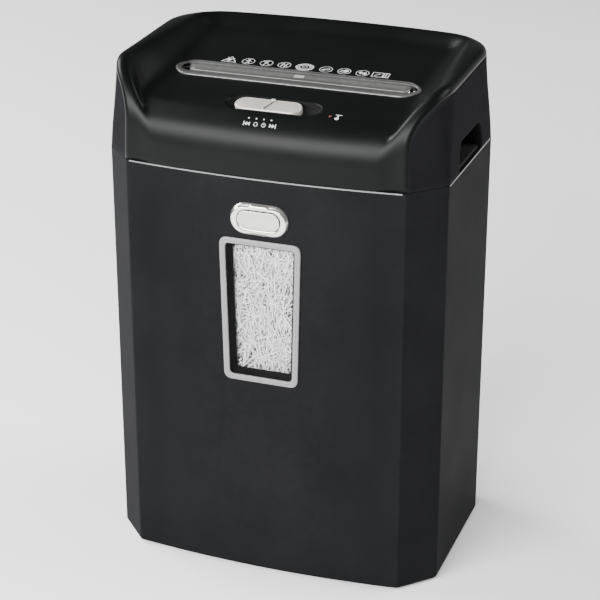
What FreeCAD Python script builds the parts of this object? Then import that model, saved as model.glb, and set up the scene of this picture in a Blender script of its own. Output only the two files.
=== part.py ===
# Paper shredder: a cutting head that lifts off a waste bin.
# Millimetres, +Z up, front towards -Y. The origin is on the floor under the middle of the body.
import FreeCAD, Part
import os
from math import acos, atan2, cos, degrees, pi, radians, sin, sqrt, tan

V = FreeCAD.Vector
AXIS_X = V(1, 0, 0)
AXIS_Y = V(0, 1, 0)
AXIS_Z = V(0, 0, 1)

# ---- body plan: an octagon with gently bowed front and back faces ----
HALF_WIDTH = 166.4
HALF_DEPTH = 115.0
SIDE_HALF = 74.0             # half length of the flat side faces
CORNER_X = 135.8             # where a chamfer meets the front or back face
CORNER_Y = 106.3
BOW_RADIUS = (CORNER_X**2 + (HALF_DEPTH - CORNER_Y)**2) / (2 * (HALF_DEPTH - CORNER_Y))

# ---- heights ----
FOOT_HEIGHT = 1.5
SPLIT_Z = 410.7              # top of the bin, underside of the head
RIM_Z = 501.0                # crest of the rear rim of the head
WALL = 2.5                   # bin wall
HEAD_WALL = 3.0

# ---- window in the bin ----
WINDOW_BOTTOM = 206.6
WINDOW_TOP = 350.8
WINDOW_HALF_TOP = 40.0
WINDOW_HALF_BOTTOM = 36.8
WINDOW_RING = 5.0
WINDOW_PROUD = 1.4
PANE_Y = -107.0
PANE_THICK = 2.0
FRAME_BACK_Y = -104.6

# ---- latch ----
LATCH_Z = 371.7
LATCH_SIZE = (57.0, 31.0)
LATCH_PAD = (33.0, 14.0)
LATCH_FRONT_Y = -119.2
LATCH_TRAVEL = 3.5
CROSSBAR_Y = -95.0
LATCH_SEAT_Y = -HALF_DEPTH + WALL + 0.6   # where the bracket meets the bowed wall

# ---- head surfaces ----
LEAN = 4.9                   # how far the head leans in at the height LEAN_TOP_Z
LEAN_TOP_Z = 510.0
FIELD_Z = 468.0              # the sloping top starts here ...
FIELD_Y = -85.0              # ... at this depth
FIELD_SLOPE = 0.1357
CHEEK_IN = 124.0             # the cheeks rise between these two half widths
CHEEK_OUT = 162.0

# ---- feed slot ----
SLOT_Y = -17.0               # middle of the slot frame
NIP_Y = -18.0                # where the rollers meet
SLOT_HALF = 112.5
GUIDE_BOTTOM = 449.0

# ---- mode switch ----
SWITCH_Y = -77.0
SWITCH_SLOPE = 12.5
SWITCH_RECESS = (91.2, 26.0)
KNOB_SIZE = (64.6, 20.0)
KNOB_X = -4.9
SWITCH_DEPTH = 4.0

# ---- cutters ----
CUTTER_Z = 430.0
CUTTER_SPACING = 36.0
DISC_RADIUS = 20.0
CORE_RADIUS = 15.5
DISC_PITCH = 8.0
DISC_WIDTH = 3.6
DISC_COUNT = 28
DISC_TEETH = 4
JOURNAL_RADIUS = 8.0
PLATE_X = 117.0              # inner faces of the frame plates
PLATE_THICK = 4.0
RUNNING_GAP = 0.05

# ---- gear train: (teeth, module) ----
PRESSURE = 25.0
BACKLASH = 0.3
SYNC_GEAR = (18, 2.0)
DRIVE_WHEEL = (48, 1.5)
SECOND_PINION = (12, 1.5)
SECOND_WHEEL = (45, 1.25)
FIRST_PINION = (12, 1.25)
FIRST_WHEEL = (50, 1.0)
MOTOR_PINION = (12, 1.0)
LAYERS = ((122.0, 6.0), (129.0, 6.0), (136.0, 5.0))   # x and width of each stage
SYNC_X = -133.0
SYNC_WIDTH = 10.0

# ---- tray under the head ----
TRAY_Z = 384.0
TRAY_INSET = 4.0
TRAY_WALL = 2.5
CHUTE_HALF = 116.0
CHUTE_FRONT = -58.0
CHUTE_BACK = 22.0

FRONT_AXIS = (NIP_Y - CUTTER_SPACING / 2, CUTTER_Z)
REAR_AXIS = (NIP_Y + CUTTER_SPACING / 2, CUTTER_Z)


# ---------------------------------------------------------------- helpers

def box(x0, x1, y0, y1, z0, z1):
    return Part.makeBox(x1 - x0, y1 - y0, z1 - z0, V(x0, y0, z0))


def rod(radius, start, direction, length):
    return Part.makeCylinder(radius, length, start, direction)


def rod_x(radius, x0, x1, axis):
    return rod(radius, V(x0, axis[0], axis[1]), AXIS_X, x1 - x0)


def tube_x(outer, inner, x0, x1, axis):
    return rod_x(outer, x0, x1, axis).cut(rod_x(inner, x0, x1, axis))


def extruded(points, direction):
    """A closed outline of straight edges, extruded."""
    return Part.Face(Part.makePolygon(points + points[:1])).extrude(direction)


def tidy(shape):
    """One solid, or a compound of the separate solids."""
    shape = shape.removeSplitter()
    if len(shape.Solids) == 1:
        return shape.Solids[0]
    return Part.makeCompound(shape.Solids)


def save(name, shape):
    solid = tidy(shape)
    solid.exportStep("parts/" + name + ".step")
    print(name, len(solid.Solids), round(solid.Volume / 1000, 2), "cm3", solid.isValid())


def smooth(t):
    t = min(1.0, max(0.0, t))
    return t * t * (3 - 2 * t)


def stadium(size, y0, y1, z):
    """A slab with round ends, its length along X, lying in a plane across Y."""
    length, height = size
    radius = height / 2
    half = length / 2 - radius
    slab = box(-half, half, y0, y1, z - radius, z + radius)
    ends = [rod(radius, V(side * half, y0, z), AXIS_Y, y1 - y0) for side in (-1, 1)]
    return slab.multiFuse(ends).removeSplitter()


def screw(start, direction, radius, length, head_radius, head_height):
    """A screw whose head's underside is at start and whose shank runs along direction."""
    shank = rod(radius, start, direction, length)
    back = V(direction).multiply(-head_height)
    head = rod(head_radius, start + back, direction, head_height)
    socket = rod(head_radius * 0.5, start + back, direction, head_height * 0.5)
    return shank.fuse(head).cut(socket)


# ---------------------------------------------------------------- body plan

def plan_wire(z, inset):
    """The octagon at height z, moved inwards by inset."""
    run = V(CORNER_X - HALF_WIDTH, CORNER_Y - SIDE_HALF, 0).normalize()
    normal = V(run.y, -run.x, 0)
    reach = normal.x * HALF_WIDTH + normal.y * SIDE_HALF - inset
    side_x = HALF_WIDTH - inset
    side_y = (reach - normal.x * side_x) / normal.y
    centre_y = HALF_DEPTH - BOW_RADIUS
    radius = BOW_RADIUS - inset
    ahead = reach - normal.y * centre_y
    along = sqrt(radius**2 - ahead**2)
    corner_x = normal.x * ahead - run.x * -along
    corner_y = centre_y + normal.y * ahead - run.y * -along
    apex = HALF_DEPTH - inset
    edges = []
    for side in (1, -1):
        edges.append(Part.makeLine(V(side * side_x, -side * side_y, z), V(side * side_x, side * side_y, z)))
        start = V(side * side_x, side * side_y, z)
        corner = V(side * corner_x, side * corner_y, z)
        far_corner = V(-side * corner_x, side * corner_y, z)
        edges.append(Part.makeLine(start, corner))
        edges.append(Part.Arc(corner, V(0, side * apex, z), far_corner).toShape())
        edges.append(Part.makeLine(far_corner, V(-side * side_x, side * side_y, z)))
    return Part.Wire(Part.__sortEdges__(edges))


def plan_prism(z0, z1, inset=0.0):
    return Part.Face(plan_wire(z0, inset)).extrude(V(0, 0, z1 - z0))


def upright_edges(solid):
    return [edge for edge in solid.Edges
            if abs(edge.Vertexes[0].X - edge.Vertexes[-1].X) < 6
            and abs(edge.Vertexes[0].Y - edge.Vertexes[-1].Y) < 6
            and abs(edge.Vertexes[0].Z - edge.Vertexes[-1].Z) > 20]


# ---------------------------------------------------------------- waste bin

def window_outline(grow, y):
    """The tapered window outline with rounded corners, in the plane y."""
    corner = max(2.0, 6.0 + min(grow, 0.0) * 0.4)
    low, high = WINDOW_BOTTOM - grow, WINDOW_TOP + grow
    points = [V(-WINDOW_HALF_BOTTOM - grow, y, low), V(WINDOW_HALF_BOTTOM + grow, y, low),
              V(WINDOW_HALF_TOP + grow, y, high), V(-WINDOW_HALF_TOP - grow, y, high)]
    edges = []
    for index in range(4):
        here, ahead, back = points[index], points[(index + 1) % 4], points[index - 1]
        to_back = (back - here).normalize() * corner
        to_ahead = (ahead - here).normalize() * corner
        middle = here + (to_back + to_ahead) * (1 - 1 / sqrt(2))
        edges.append(Part.Arc(here + to_back, middle, here + to_ahead).toShape())
        following = points[(index + 2) % 4]
        next_back = (here - ahead).normalize() * corner
        edges.append(Part.makeLine(here + to_ahead, ahead + next_back))
    return Part.Wire(edges)


def bin_shell():
    outer = plan_prism(FOOT_HEIGHT, SPLIT_Z)
    bottom = [edge for edge in outer.Edges if edge.BoundBox.ZMax < FOOT_HEIGHT + 0.1]
    outer = outer.makeFillet(4.0, upright_edges(outer) + bottom)
    shell = outer.cut(plan_prism(FOOT_HEIGHT + 3.0, SPLIT_Z + 1, WALL))
    shell = shell.cut(Part.Face(window_outline(-2.0, -120)).extrude(V(0, 12, 0)))
    shell = shell.cut(stadium((LATCH_PAD[0] + 1, LATCH_PAD[1] + 1), -120, -105, LATCH_Z))
    ribs = [box(x - 1.2, x + 1.2, HALF_DEPTH - 5.2, HALF_DEPTH, 30, 380) for x in (-60, 0, 60)]
    shell = shell.multiFuse([rib.common(plan_prism(FOOT_HEIGHT, SPLIT_Z, 1.0)) for rib in ribs])
    shell = shell.cut(latch_screws())
    for strip in rim_strips(0.0):
        shell = shell.cut(strip)
    return shell


def rim_strips(gap):
    """The bright strips let into the bin's top edge, on the four flat or bowed faces."""
    ring = plan_prism(SPLIT_Z - 1.3, SPLIT_Z).cut(plan_prism(SPLIT_Z - 2, SPLIT_Z + 1, 1.2 - gap))
    long_zone = CORNER_X - 3
    side_zone = SIDE_HALF - 3
    zones = [box(-long_zone, long_zone, 0, 200, 400, 420), box(-long_zone, long_zone, -200, 0, 400, 420),
             box(0, 200, -side_zone, side_zone, 400, 420), box(-200, 0, -side_zone, side_zone, 400, 420)]
    return [ring.common(zone) for zone in zones]


def window_frame(shell):
    flange = Part.Face(window_outline(0, -HALF_DEPTH - WINDOW_PROUD)).extrude(V(0, 5, 0))
    body = Part.Face(window_outline(-2.0, -HALF_DEPTH)).extrude(V(0, HALF_DEPTH + FRAME_BACK_Y, 0))
    frame = flange.fuse(body).cut(shell)
    funnel = Part.makeLoft([window_outline(-WINDOW_RING, -HALF_DEPTH - WINDOW_PROUD - 0.1),
                            window_outline(-WINDOW_RING - 5.0, PANE_Y)], True, True)
    sight = Part.Face(window_outline(-WINDOW_RING - 5.0, PANE_Y - 0.5)).extrude(V(0, 10, 0))
    seat = Part.Face(window_outline(-WINDOW_RING - 2.0, PANE_Y)).extrude(V(0, 10, 0))
    return frame.cut(funnel).cut(sight).cut(seat)


def window_pane():
    return Part.Face(window_outline(-WINDOW_RING - 2.0, PANE_Y)).extrude(V(0, PANE_THICK, 0))


def feet():
    pads = []
    for x in (-115, 115):
        for y in (-72, 72):
            pad = rod(10.0, V(x, y, 0), AXIS_Z, FOOT_HEIGHT)
            pads.append(pad.cut(rod(4.0, V(x, y, 0), AXIS_Z, 0.8)))
    return Part.makeCompound(pads)


def paper_shreds():
    """The heap that fills the bin, hollow inside so that it weighs what loose shreds weigh."""
    low, shoulder, crown = FOOT_HEIGHT + 4.5, 342.0, 356.0
    heap = plan_prism(low, shoulder, 6.0)
    dome = Part.makeLoft([plan_wire(shoulder, 6.0), plan_wire(crown, 55.0)], True, True)
    heap = heap.fuse(dome)
    heap = heap.cut(box(-46, 46, -120, FRAME_BACK_Y + 0.6, 198, 400))
    return heap.cut(plan_prism(low + 14, shoulder - 10, 24.0))


# ---------------------------------------------------------------- bin latch

def latch_surround(shell):
    ring = stadium(LATCH_SIZE, -118.0, -110.0, LATCH_Z)
    ring = ring.cut(stadium((LATCH_PAD[0] + 1, LATCH_PAD[1] + 1), -125, -100, LATCH_Z))
    groove = stadium((47, 22), -119, -117.2, LATCH_Z).cut(stadium((44, 20), -120, -110, LATCH_Z))
    return ring.cut(groove).cut(shell).cut(plan_prism(300, 400, 0.8))


def latch_button():
    pad = stadium(LATCH_PAD, LATCH_FRONT_Y, -115.6, LATCH_Z)
    return pad.cut(stadium((LATCH_PAD[0] - 5, LATCH_PAD[1] - 5), -121, LATCH_FRONT_Y + 0.6, LATCH_Z))


def latch_slide():
    """Two arms behind the button, joined by the bar that holds the head down."""
    arms = [box(x - 1.6, x + 1.6, -115.6, CROSSBAR_Y + 5, LATCH_Z - 4, LATCH_Z + 4) for x in (-12.2, 12.2)]
    bar = box(-17, 17, CROSSBAR_Y, CROSSBAR_Y + 5, LATCH_Z - 4, LATCH_Z + 4)
    back = box(-13.8, 13.8, -115.6, -114.4, LATCH_Z - 4, LATCH_Z + 4)
    return bar.multiFuse(arms + [back])


def latch_bracket():
    """The guide on the bin's inner face, with the wall that the spring pushes against."""
    y0 = LATCH_SEAT_Y
    y1 = -78.0
    low, high = LATCH_Z - 8, LATCH_Z + 8
    sides = [box(min(x, x + s * 2), max(x, x + s * 2), y0, y1, low, high)
             for x, s in ((-18.5, -1), (18.5, 1))]
    back = box(-20.5, 20.5, y1 - 2, y1, low, high)
    tabs = [box(min(x, x + s * 9), max(x, x + s * 9), y0, y0 + 2, low, high)
            for x, s in ((-20.4, -1), (20.4, 1))]
    bracket = back.multiFuse(sides + tabs)
    for x in (-25.5, 25.5):
        bracket = bracket.cut(rod(1.6, V(x, y0 - 1, LATCH_Z), AXIS_Y, 5))
    return bracket


def latch_screws():
    y = LATCH_SEAT_Y + 2.0
    shank = 3.4
    return Part.makeCompound([screw(V(x, y, LATCH_Z), V(0, -1, 0), 1.5, shank, 3.0, 1.8)
                              for x in (-25.5, 25.5)])


def latch_spring():
    y0, y1 = CROSSBAR_Y + 5.2, -80.2
    turns, radius, wire = 5, 3.4, 0.45
    helix = Part.makeHelix((y1 - y0 - 2 * wire) / turns, y1 - y0 - 2 * wire, radius)
    section = Part.Wire(Part.Circle(V(radius, 0, 0), AXIS_Y, wire).toShape())
    coil = Part.Wire(helix).makePipeShell([section], True, True)
    coil.rotate(V(0, 0, 0), AXIS_X, -90)
    coil.translate(V(0, y0 + wire, LATCH_Z))
    return coil


# ---------------------------------------------------------------- head: outer surfaces

def field_height(y):
    """The height of the middle of the sloping top at depth y."""
    line = FIELD_Z + FIELD_SLOPE * (y - FIELD_Y)
    return line + smooth((y - 85) / 22) * (RIM_Z - line)


def cheek_height(y):
    line = 492.5 + 0.0236 * (y + 76)
    return line + smooth((y - 62) / 45) * (RIM_Z - line)


def top_point(x, u):
    """A point of the top surface: u runs 0 to 1 over the front curve, then 1 to 2 to the back."""
    if u <= 1:
        turn = radians(90 * u)
        middle = V(0, FIELD_Y - 32 * cos(turn), FIELD_Z - 31 + 31 * sin(turn))
        cheek = V(0, -76 - 34 * cos(turn), 450 + 42.5 * sin(turn))
    else:
        y = FIELD_Y + (u - 1) * (125 - FIELD_Y)
        middle = V(0, y, field_height(y))
        y = -76 + (u - 1) * (125 + 76)
        cheek = V(0, y, cheek_height(y))
    share = smooth((abs(x) - CHEEK_IN) / (CHEEK_OUT - CHEEK_IN))
    point = middle * (1 - share) + cheek * share
    return V(x, point.y, point.z)


def under_top():
    """Everything below the top surface."""
    half = (40, 80, 110, 122, 128, 134, 140, 146, 152, 158, 163, 175)
    stations = [-x for x in reversed(half)] + [0] + list(half)
    steps = [i / 9 for i in range(9)] + [1 + i / 18 for i in range(19)]
    surface = Part.BSplineSurface()
    surface.interpolate([[top_point(x, u) for u in steps] for x in stations])
    return surface.toShape().extrude(V(0, 0, -150))


def leaning_prism(inset):
    """The head's plan, leaning in towards the top."""
    return Part.makeLoft([plan_wire(SPLIT_Z, inset), plan_wire(LEAN_TOP_Z, inset + LEAN)], True, True)


def head_prism():
    prism = leaning_prism(0.0)
    return prism.makeFillet(3.0, upright_edges(prism))


def inner_zone():
    """Inside the side, chamfer and rear walls, but open through the front face."""
    front = box(-CORNER_X + 1.5, CORNER_X - 1.5, -130, -CORNER_Y + 6, SPLIT_Z - 1, LEAN_TOP_Z + 1)
    return leaning_prism(HEAD_WALL).fuse(front)


def handle_outline(grow, x):
    low = SPLIT_Z - 1
    points = [(-40 - grow, low), (40 + grow, low), (40 + grow, 428), (33 + grow * 0.6, 440.4 + grow),
              (-33 - grow * 0.6, 440.4 + grow), (-40 - grow, 428)]
    return [V(x, y, z) for y, z in points]


def head_housing(block, zone):
    """Side, chamfer and rear walls, with a finger recess in each side."""
    housing = block.cut(zone)
    for side in (-1, 1):
        liner = extruded(handle_outline(2.0, side * 144), V(side * 20, 0, 0))
        liner = liner.cut(box(-200, 200, -60, 60, 400, SPLIT_Z + 3.4))
        housing = housing.fuse(liner.cut(extruded(handle_outline(0, side * 146), V(side * 40, 0, 0))))
        housing = housing.cut(extruded(handle_outline(0, side * 146), V(side * 40, 0, 0)))
    housing = housing.cut(rod(6.0, V(-70, 90, 436), AXIS_Y, 40))
    vents = [box(x - 1.5, x + 1.5, 100, 125, 424, 444) for x in range(30, 91, 6)]
    return housing.cut(Part.makeCompound(vents))


def on_field(shape):
    """Lay a piece drawn flat about the origin on the sloping top, centred on the slot."""
    shape.rotate(V(0, 0, 0), AXIS_X, degrees(atan2(FIELD_SLOPE, 1)))
    shape.translate(V(0, SLOT_Y, field_height(SLOT_Y)))
    return shape


def on_switch(shape):
    """Lay a piece drawn flat about the origin on the switch's own slope."""
    shape.rotate(V(0, 0, 0), AXIS_X, SWITCH_SLOPE)
    shape.translate(V(0, SWITCH_Y, 467.4))
    return shape


def flat_stadium(size, z0, z1, x=0.0, radius=0.0):
    length, width = size
    radius = radius or width / 2 - 0.01
    slab = box(x - length / 2, x + length / 2, -width / 2, width / 2, z0, z1)
    return slab.makeFillet(radius, [e for e in slab.Edges if abs(e.Vertexes[0].Z - e.Vertexes[-1].Z) > 0.1])


def slot_outline(half_length, straight, front, back, z):
    middle = (front + back) / 2
    return [V(half_length, middle, z), V(straight, back, z), V(-straight, back, z),
            V(-half_length, middle, z), V(-straight, front, z), V(straight, front, z)]


def top_cover(block, zone, below):
    """Front face and dished top in one thin skin."""
    inner = below.copy()
    inner.translate(V(0, HEAD_WALL, -HEAD_WALL))
    skirt = plan_prism(SPLIT_Z - 2, SPLIT_Z + 0.1, HEAD_WALL)
    inner = inner.common(leaning_prism(HEAD_WALL).fuse(skirt))
    cover = block.common(zone).cut(inner)
    cover = cover.cut(on_field(extruded(slot_outline(124.5, 111, -16.5, 16.5, -1.0), V(0, 0, 20))))
    cover = cover.cut(on_field(extruded(slot_outline(118, 112.6, -9, 12.5, -12), V(0, 0, 20))))
    cover = cover.cut(on_switch(flat_stadium((SWITCH_RECESS[0] + 2, SWITCH_RECESS[1] + 2), -20, 20)))
    return cover.cut(on_led(rod(2.2, V(0, 0, -10), AXIS_Z, 30)))


def on_led(shape):
    shape.rotate(V(0, 0, 0), AXIS_X, 14)
    shape.translate(V(57.5, FIELD_Y, FIELD_Z))
    return shape


# ---------------------------------------------------------------- head: slot and switch

def slot_bezel():
    ring = extruded(slot_outline(124.5, 111, -16.5, 16.5, -1.0), V(0, 0, 2.6))
    ring = ring.makeChamfer(0.8, [e for e in ring.Edges if e.BoundBox.ZMin > 1.5])
    hole = extruded(slot_outline(116, 112.5, -7.2, 12.2, -5), V(0, 0, 10))
    return on_field(ring.cut(hole))


def rear_guide():
    """The sloping plate behind the slot and the wall that leads the paper down."""
    top_z, lip_z = 477.6, 475.0
    back_y, lip_y, foot_y = SLOT_Y + 11.8, SLOT_Y + 0.6, NIP_Y + 3.0
    thick = 1.6
    profile = [(back_y, top_z), (lip_y, lip_z), (foot_y, GUIDE_BOTTOM), (foot_y + thick, GUIDE_BOTTOM),
               (lip_y + thick, lip_z - thick), (back_y, top_z - thick)]
    points = [V(-SLOT_HALF + 0.3, y, z) for y, z in profile]
    return extruded(points, V(2 * SLOT_HALF - 0.6, 0, 0))


def front_guide():
    lip_y, foot_y = SLOT_Y - 7.4, NIP_Y - 3.0
    thick = 1.6
    profile = [(lip_y + thick, 472.4), (foot_y, 464), (foot_y, GUIDE_BOTTOM), (foot_y - thick, GUIDE_BOTTOM),
               (foot_y - thick, 464), (lip_y, 472.4)]
    points = [V(-SLOT_HALF + 0.3, y, z) for y, z in profile]
    return extruded(points, V(2 * SLOT_HALF - 0.6, 0, 0))


def switch_tray():
    outer = flat_stadium((SWITCH_RECESS[0] + 2, SWITCH_RECESS[1] + 2), -SWITCH_DEPTH - 1.5, 0.4)
    hollow = flat_stadium(SWITCH_RECESS, -SWITCH_DEPTH, 5)
    track = flat_stadium((34, 5), -20, 5, KNOB_X + 3.75)
    return on_switch(outer.cut(hollow).cut(track))


def mode_knob():
    knob = flat_stadium(KNOB_SIZE, -SWITCH_DEPTH + 0.4, 2.4, KNOB_X)
    knob = knob.makeChamfer(0.8, [e for e in knob.Edges if e.BoundBox.ZMin > 2])
    ridge = extruded([V(KNOB_X - 4, -9, 2), V(KNOB_X - 1.5, -9, 2), V(KNOB_X + 3, 9, 2),
                      V(KNOB_X + 0.5, 9, 2)], V(0, 0, 1.4))
    stem = box(KNOB_X - 4, KNOB_X + 4, -2, 2, -SWITCH_DEPTH - 5, 0)
    return on_switch(knob.multiFuse([ridge, stem]))


def mode_switch_block():
    block = box(-26, 26, -9, 9, -SWITCH_DEPTH - 18, -SWITCH_DEPTH - 6.0)
    pins = [box(x - 0.4, x + 0.4, -3, 3, -SWITCH_DEPTH - 22, -SWITCH_DEPTH - 17.9) for x in (-18, -6, 6, 18)]
    return on_switch(block.multiFuse(pins))


def overheat_lamp():
    return on_led(rod(2.0, V(0, 0, -4), AXIS_Z, 4.2).fuse(rod(3.2, V(0, 0, -6), AXIS_Z, 2)))


# ---------------------------------------------------------------- head: tray and frame

def lower_tray():
    """The tub that drops into the bin, with the chute that the shreds fall through."""
    flange_top = SPLIT_Z + 3.2
    tub = plan_prism(TRAY_Z, flange_top, TRAY_INSET)
    tub = tub.fuse(plan_prism(SPLIT_Z + 0.6, flange_top, HEAD_WALL + 0.8))
    tub = tub.cut(plan_prism(TRAY_Z + TRAY_WALL, flange_top + 1, TRAY_INSET + TRAY_WALL))
    ledge = plan_prism(SPLIT_Z + 0.6, flange_top, HEAD_WALL + 0.8)
    ledge = ledge.common(box(143.9, 200, -42, 42, 400, 420).fuse(box(-200, -143.9, -42, 42, 400, 420)))
    tub = tub.fuse(ledge)
    tub = tub.cut(box(-CHUTE_HALF, CHUTE_HALF, CHUTE_FRONT, CHUTE_BACK, TRAY_Z - 5, TRAY_Z + 5))
    return tub.cut(housing_screws())


def head_catch():
    """The hook under the tray that the latch bar holds."""
    tab = box(-9, 9, -106, -103, LATCH_Z - 8, TRAY_Z)
    lip = box(-9, 9, -104, CROSSBAR_Y - 0.4, LATCH_Z - 8, LATCH_Z - 5)
    return tab.fuse(lip)


def frame_plate(side, back_y):
    x0 = PLATE_X if side > 0 else -PLATE_X - PLATE_THICK
    plate = box(x0, x0 + PLATE_THICK, -63, back_y, TRAY_Z + TRAY_WALL, 463)
    plate = plate.makeFillet(4, [e for e in plate.Edges if abs(e.Vertexes[0].X - e.Vertexes[-1].X) > 1])
    for axis in (FRONT_AXIS, REAR_AXIS):
        plate = plate.cut(rod_x(12.0, x0 - 1, x0 + 6, axis))
    for y, z in TIE_RODS:
        plate = plate.cut(rod_x(3.0, x0 - 1, x0 + 6, (y, z)))
    return plate


TIE_RODS = ((-55, 396), (-55, 456), (27, 398), (25, 456))


def tie_rods():
    """Spacer rods between the frame plates, shouldered down where they pass through them."""
    rods = []
    reach = PLATE_X + PLATE_THICK + 3
    for spot in TIE_RODS:
        body = rod_x(4.0, -PLATE_X, PLATE_X, spot)
        rods.append(body.fuse(rod_x(3.0, -reach, reach, spot)))
    return Part.makeCompound(rods)


def hexagon_x(radius, x0, x1, axis):
    points = [V(x0, axis[0] + radius * cos(pi * i / 3), axis[1] + radius * sin(pi * i / 3)) for i in range(6)]
    return extruded(points, V(x1 - x0, 0, 0))


def frame_nuts():
    nuts = []
    start = PLATE_X + PLATE_THICK
    for spot in TIE_RODS:
        for x0, x1 in ((start, start + 3), (-start - 3, -start)):
            nuts.append(hexagon_x(5.5, x0, x1, spot).cut(rod_x(3.0, x0, x1, spot)))
    return Part.makeCompound(nuts)


def bushes():
    rings = []
    for axis in (FRONT_AXIS, REAR_AXIS):
        for x0 in (-PLATE_X - PLATE_THICK, PLATE_X):
            rings.append(tube_x(12.0, JOURNAL_RADIUS + RUNNING_GAP, x0, x0 + PLATE_THICK, axis))
    return Part.makeCompound(rings)


# ---------------------------------------------------------------- cutters

def disc_outline(x, axis, start):
    """A cutting disc seen from the end: round, with small hooked notches."""
    points = []
    for tooth in range(DISC_TEETH):
        base = start + 2 * pi * tooth / DISC_TEETH
        step = 2 * pi / DISC_TEETH
        for share in (0.0, 0.17, 0.34, 0.51, 0.68, 0.85):
            points.append((DISC_RADIUS, base + share * step))
        points.append((DISC_RADIUS - 2.6, base + 0.87 * step))
        points.append((DISC_RADIUS - 2.2, base + 0.95 * step))
    return [V(x, axis[0] + r * cos(a), axis[1] + r * sin(a)) for r, a in points]


def cutter(axis, offset, left_end, right_end):
    core = rod_x(CORE_RADIUS, -PLATE_X + 1, PLATE_X - 1, axis)
    shaft = rod_x(JOURNAL_RADIUS, left_end, right_end, axis)
    discs = []
    first = -DISC_PITCH * DISC_COUNT / 2 + offset
    for index in range(DISC_COUNT):
        x = first + index * DISC_PITCH - DISC_WIDTH / 2
        outline = disc_outline(x, axis, radians(17 * index))
        discs.append(extruded(outline, V(DISC_WIDTH, 0, 0)))
    return core.multiFuse([shaft] + discs)


def comb(axis, facing, offset):
    """A bar with fingers that reach between the discs and keep them clear of shreds."""
    near = axis[0] + facing * (DISC_RADIUS + 0.9)
    far = axis[0] + facing * (DISC_RADIUS + 4.5)
    bar = box(-PLATE_X, PLATE_X, min(near, far), max(near, far), CUTTER_Z - 10, CUTTER_Z + 10)
    root = axis[0] + facing * (CORE_RADIUS - 2)
    first = -DISC_PITCH * DISC_COUNT / 2 + offset + DISC_PITCH / 2
    fingers = [box(first + i * DISC_PITCH - 1.7, first + i * DISC_PITCH + 1.7, min(root, near),
                   max(root, near), CUTTER_Z - 7, CUTTER_Z + 7) for i in range(DISC_COUNT - 1)]
    return bar.multiFuse(fingers).cut(rod_x(CORE_RADIUS + 0.6, -PLATE_X, PLATE_X, axis))


# ---------------------------------------------------------------- gears

def gear_radius(spec):
    return spec[0] * spec[1] / 2


def gear(spec, x0, width, axis, phase, bore):
    """A spur gear about an axis along X, with a tooth centred on the angle phase."""
    teeth, module = spec
    pitch_r = gear_radius(spec)
    base_r = pitch_r * cos(radians(PRESSURE))
    tip_r = pitch_r + 0.95 * module
    root_r = pitch_r - 1.25 * module
    half_tooth = pi / (2 * teeth) - BACKLASH / (2 * pitch_r)
    involute_at_pitch = tan(radians(PRESSURE)) - radians(PRESSURE)

    def half_angle(radius):
        if radius <= base_r:
            return half_tooth + involute_at_pitch
        lean = acos(base_r / radius)
        return half_tooth + involute_at_pitch - (tan(lean) - lean)

    start_r = max(base_r, root_r + 0.05)
    flank = [start_r + (tip_r - start_r) * i / 5 for i in range(6)]
    points = []
    for tooth in range(teeth):
        middle = phase + 2 * pi * tooth / teeth
        rising = [(root_r, middle - half_angle(root_r))] + [(r, middle - half_angle(r)) for r in flank]
        falling = [(r, middle + half_angle(r)) for r in reversed(flank)] + [(root_r, middle + half_angle(root_r))]
        points += rising + falling
    outline = [V(x0, axis[0] + r * cos(a), axis[1] + r * sin(a)) for r, a in points]
    return extruded(outline, V(width, 0, 0)).cut(rod_x(bore, x0 - 1, x0 + width + 1, axis))


def next_axis(axis, first, second, angle):
    reach = gear_radius(first) + gear_radius(second)
    turn = radians(angle)
    return (axis[0] + reach * cos(turn), axis[1] + reach * sin(turn))


def mesh_phase(axis, first, phase, other, second):
    """The phase that puts a gap of the second gear on a tooth of the first."""
    heading = atan2(other[1] - axis[1], other[0] - axis[0])
    slip = gear_radius(first) * (phase - heading)
    return heading + pi - (slip + pi * first[1] / 2) / gear_radius(second)


SECOND_AXIS = next_axis(REAR_AXIS, DRIVE_WHEEL, SECOND_PINION, -5)
FIRST_AXIS = next_axis(SECOND_AXIS, SECOND_WHEEL, FIRST_PINION, 35)
MOTOR_AXIS = next_axis(FIRST_AXIS, FIRST_WHEEL, MOTOR_PINION, -100)


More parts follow.
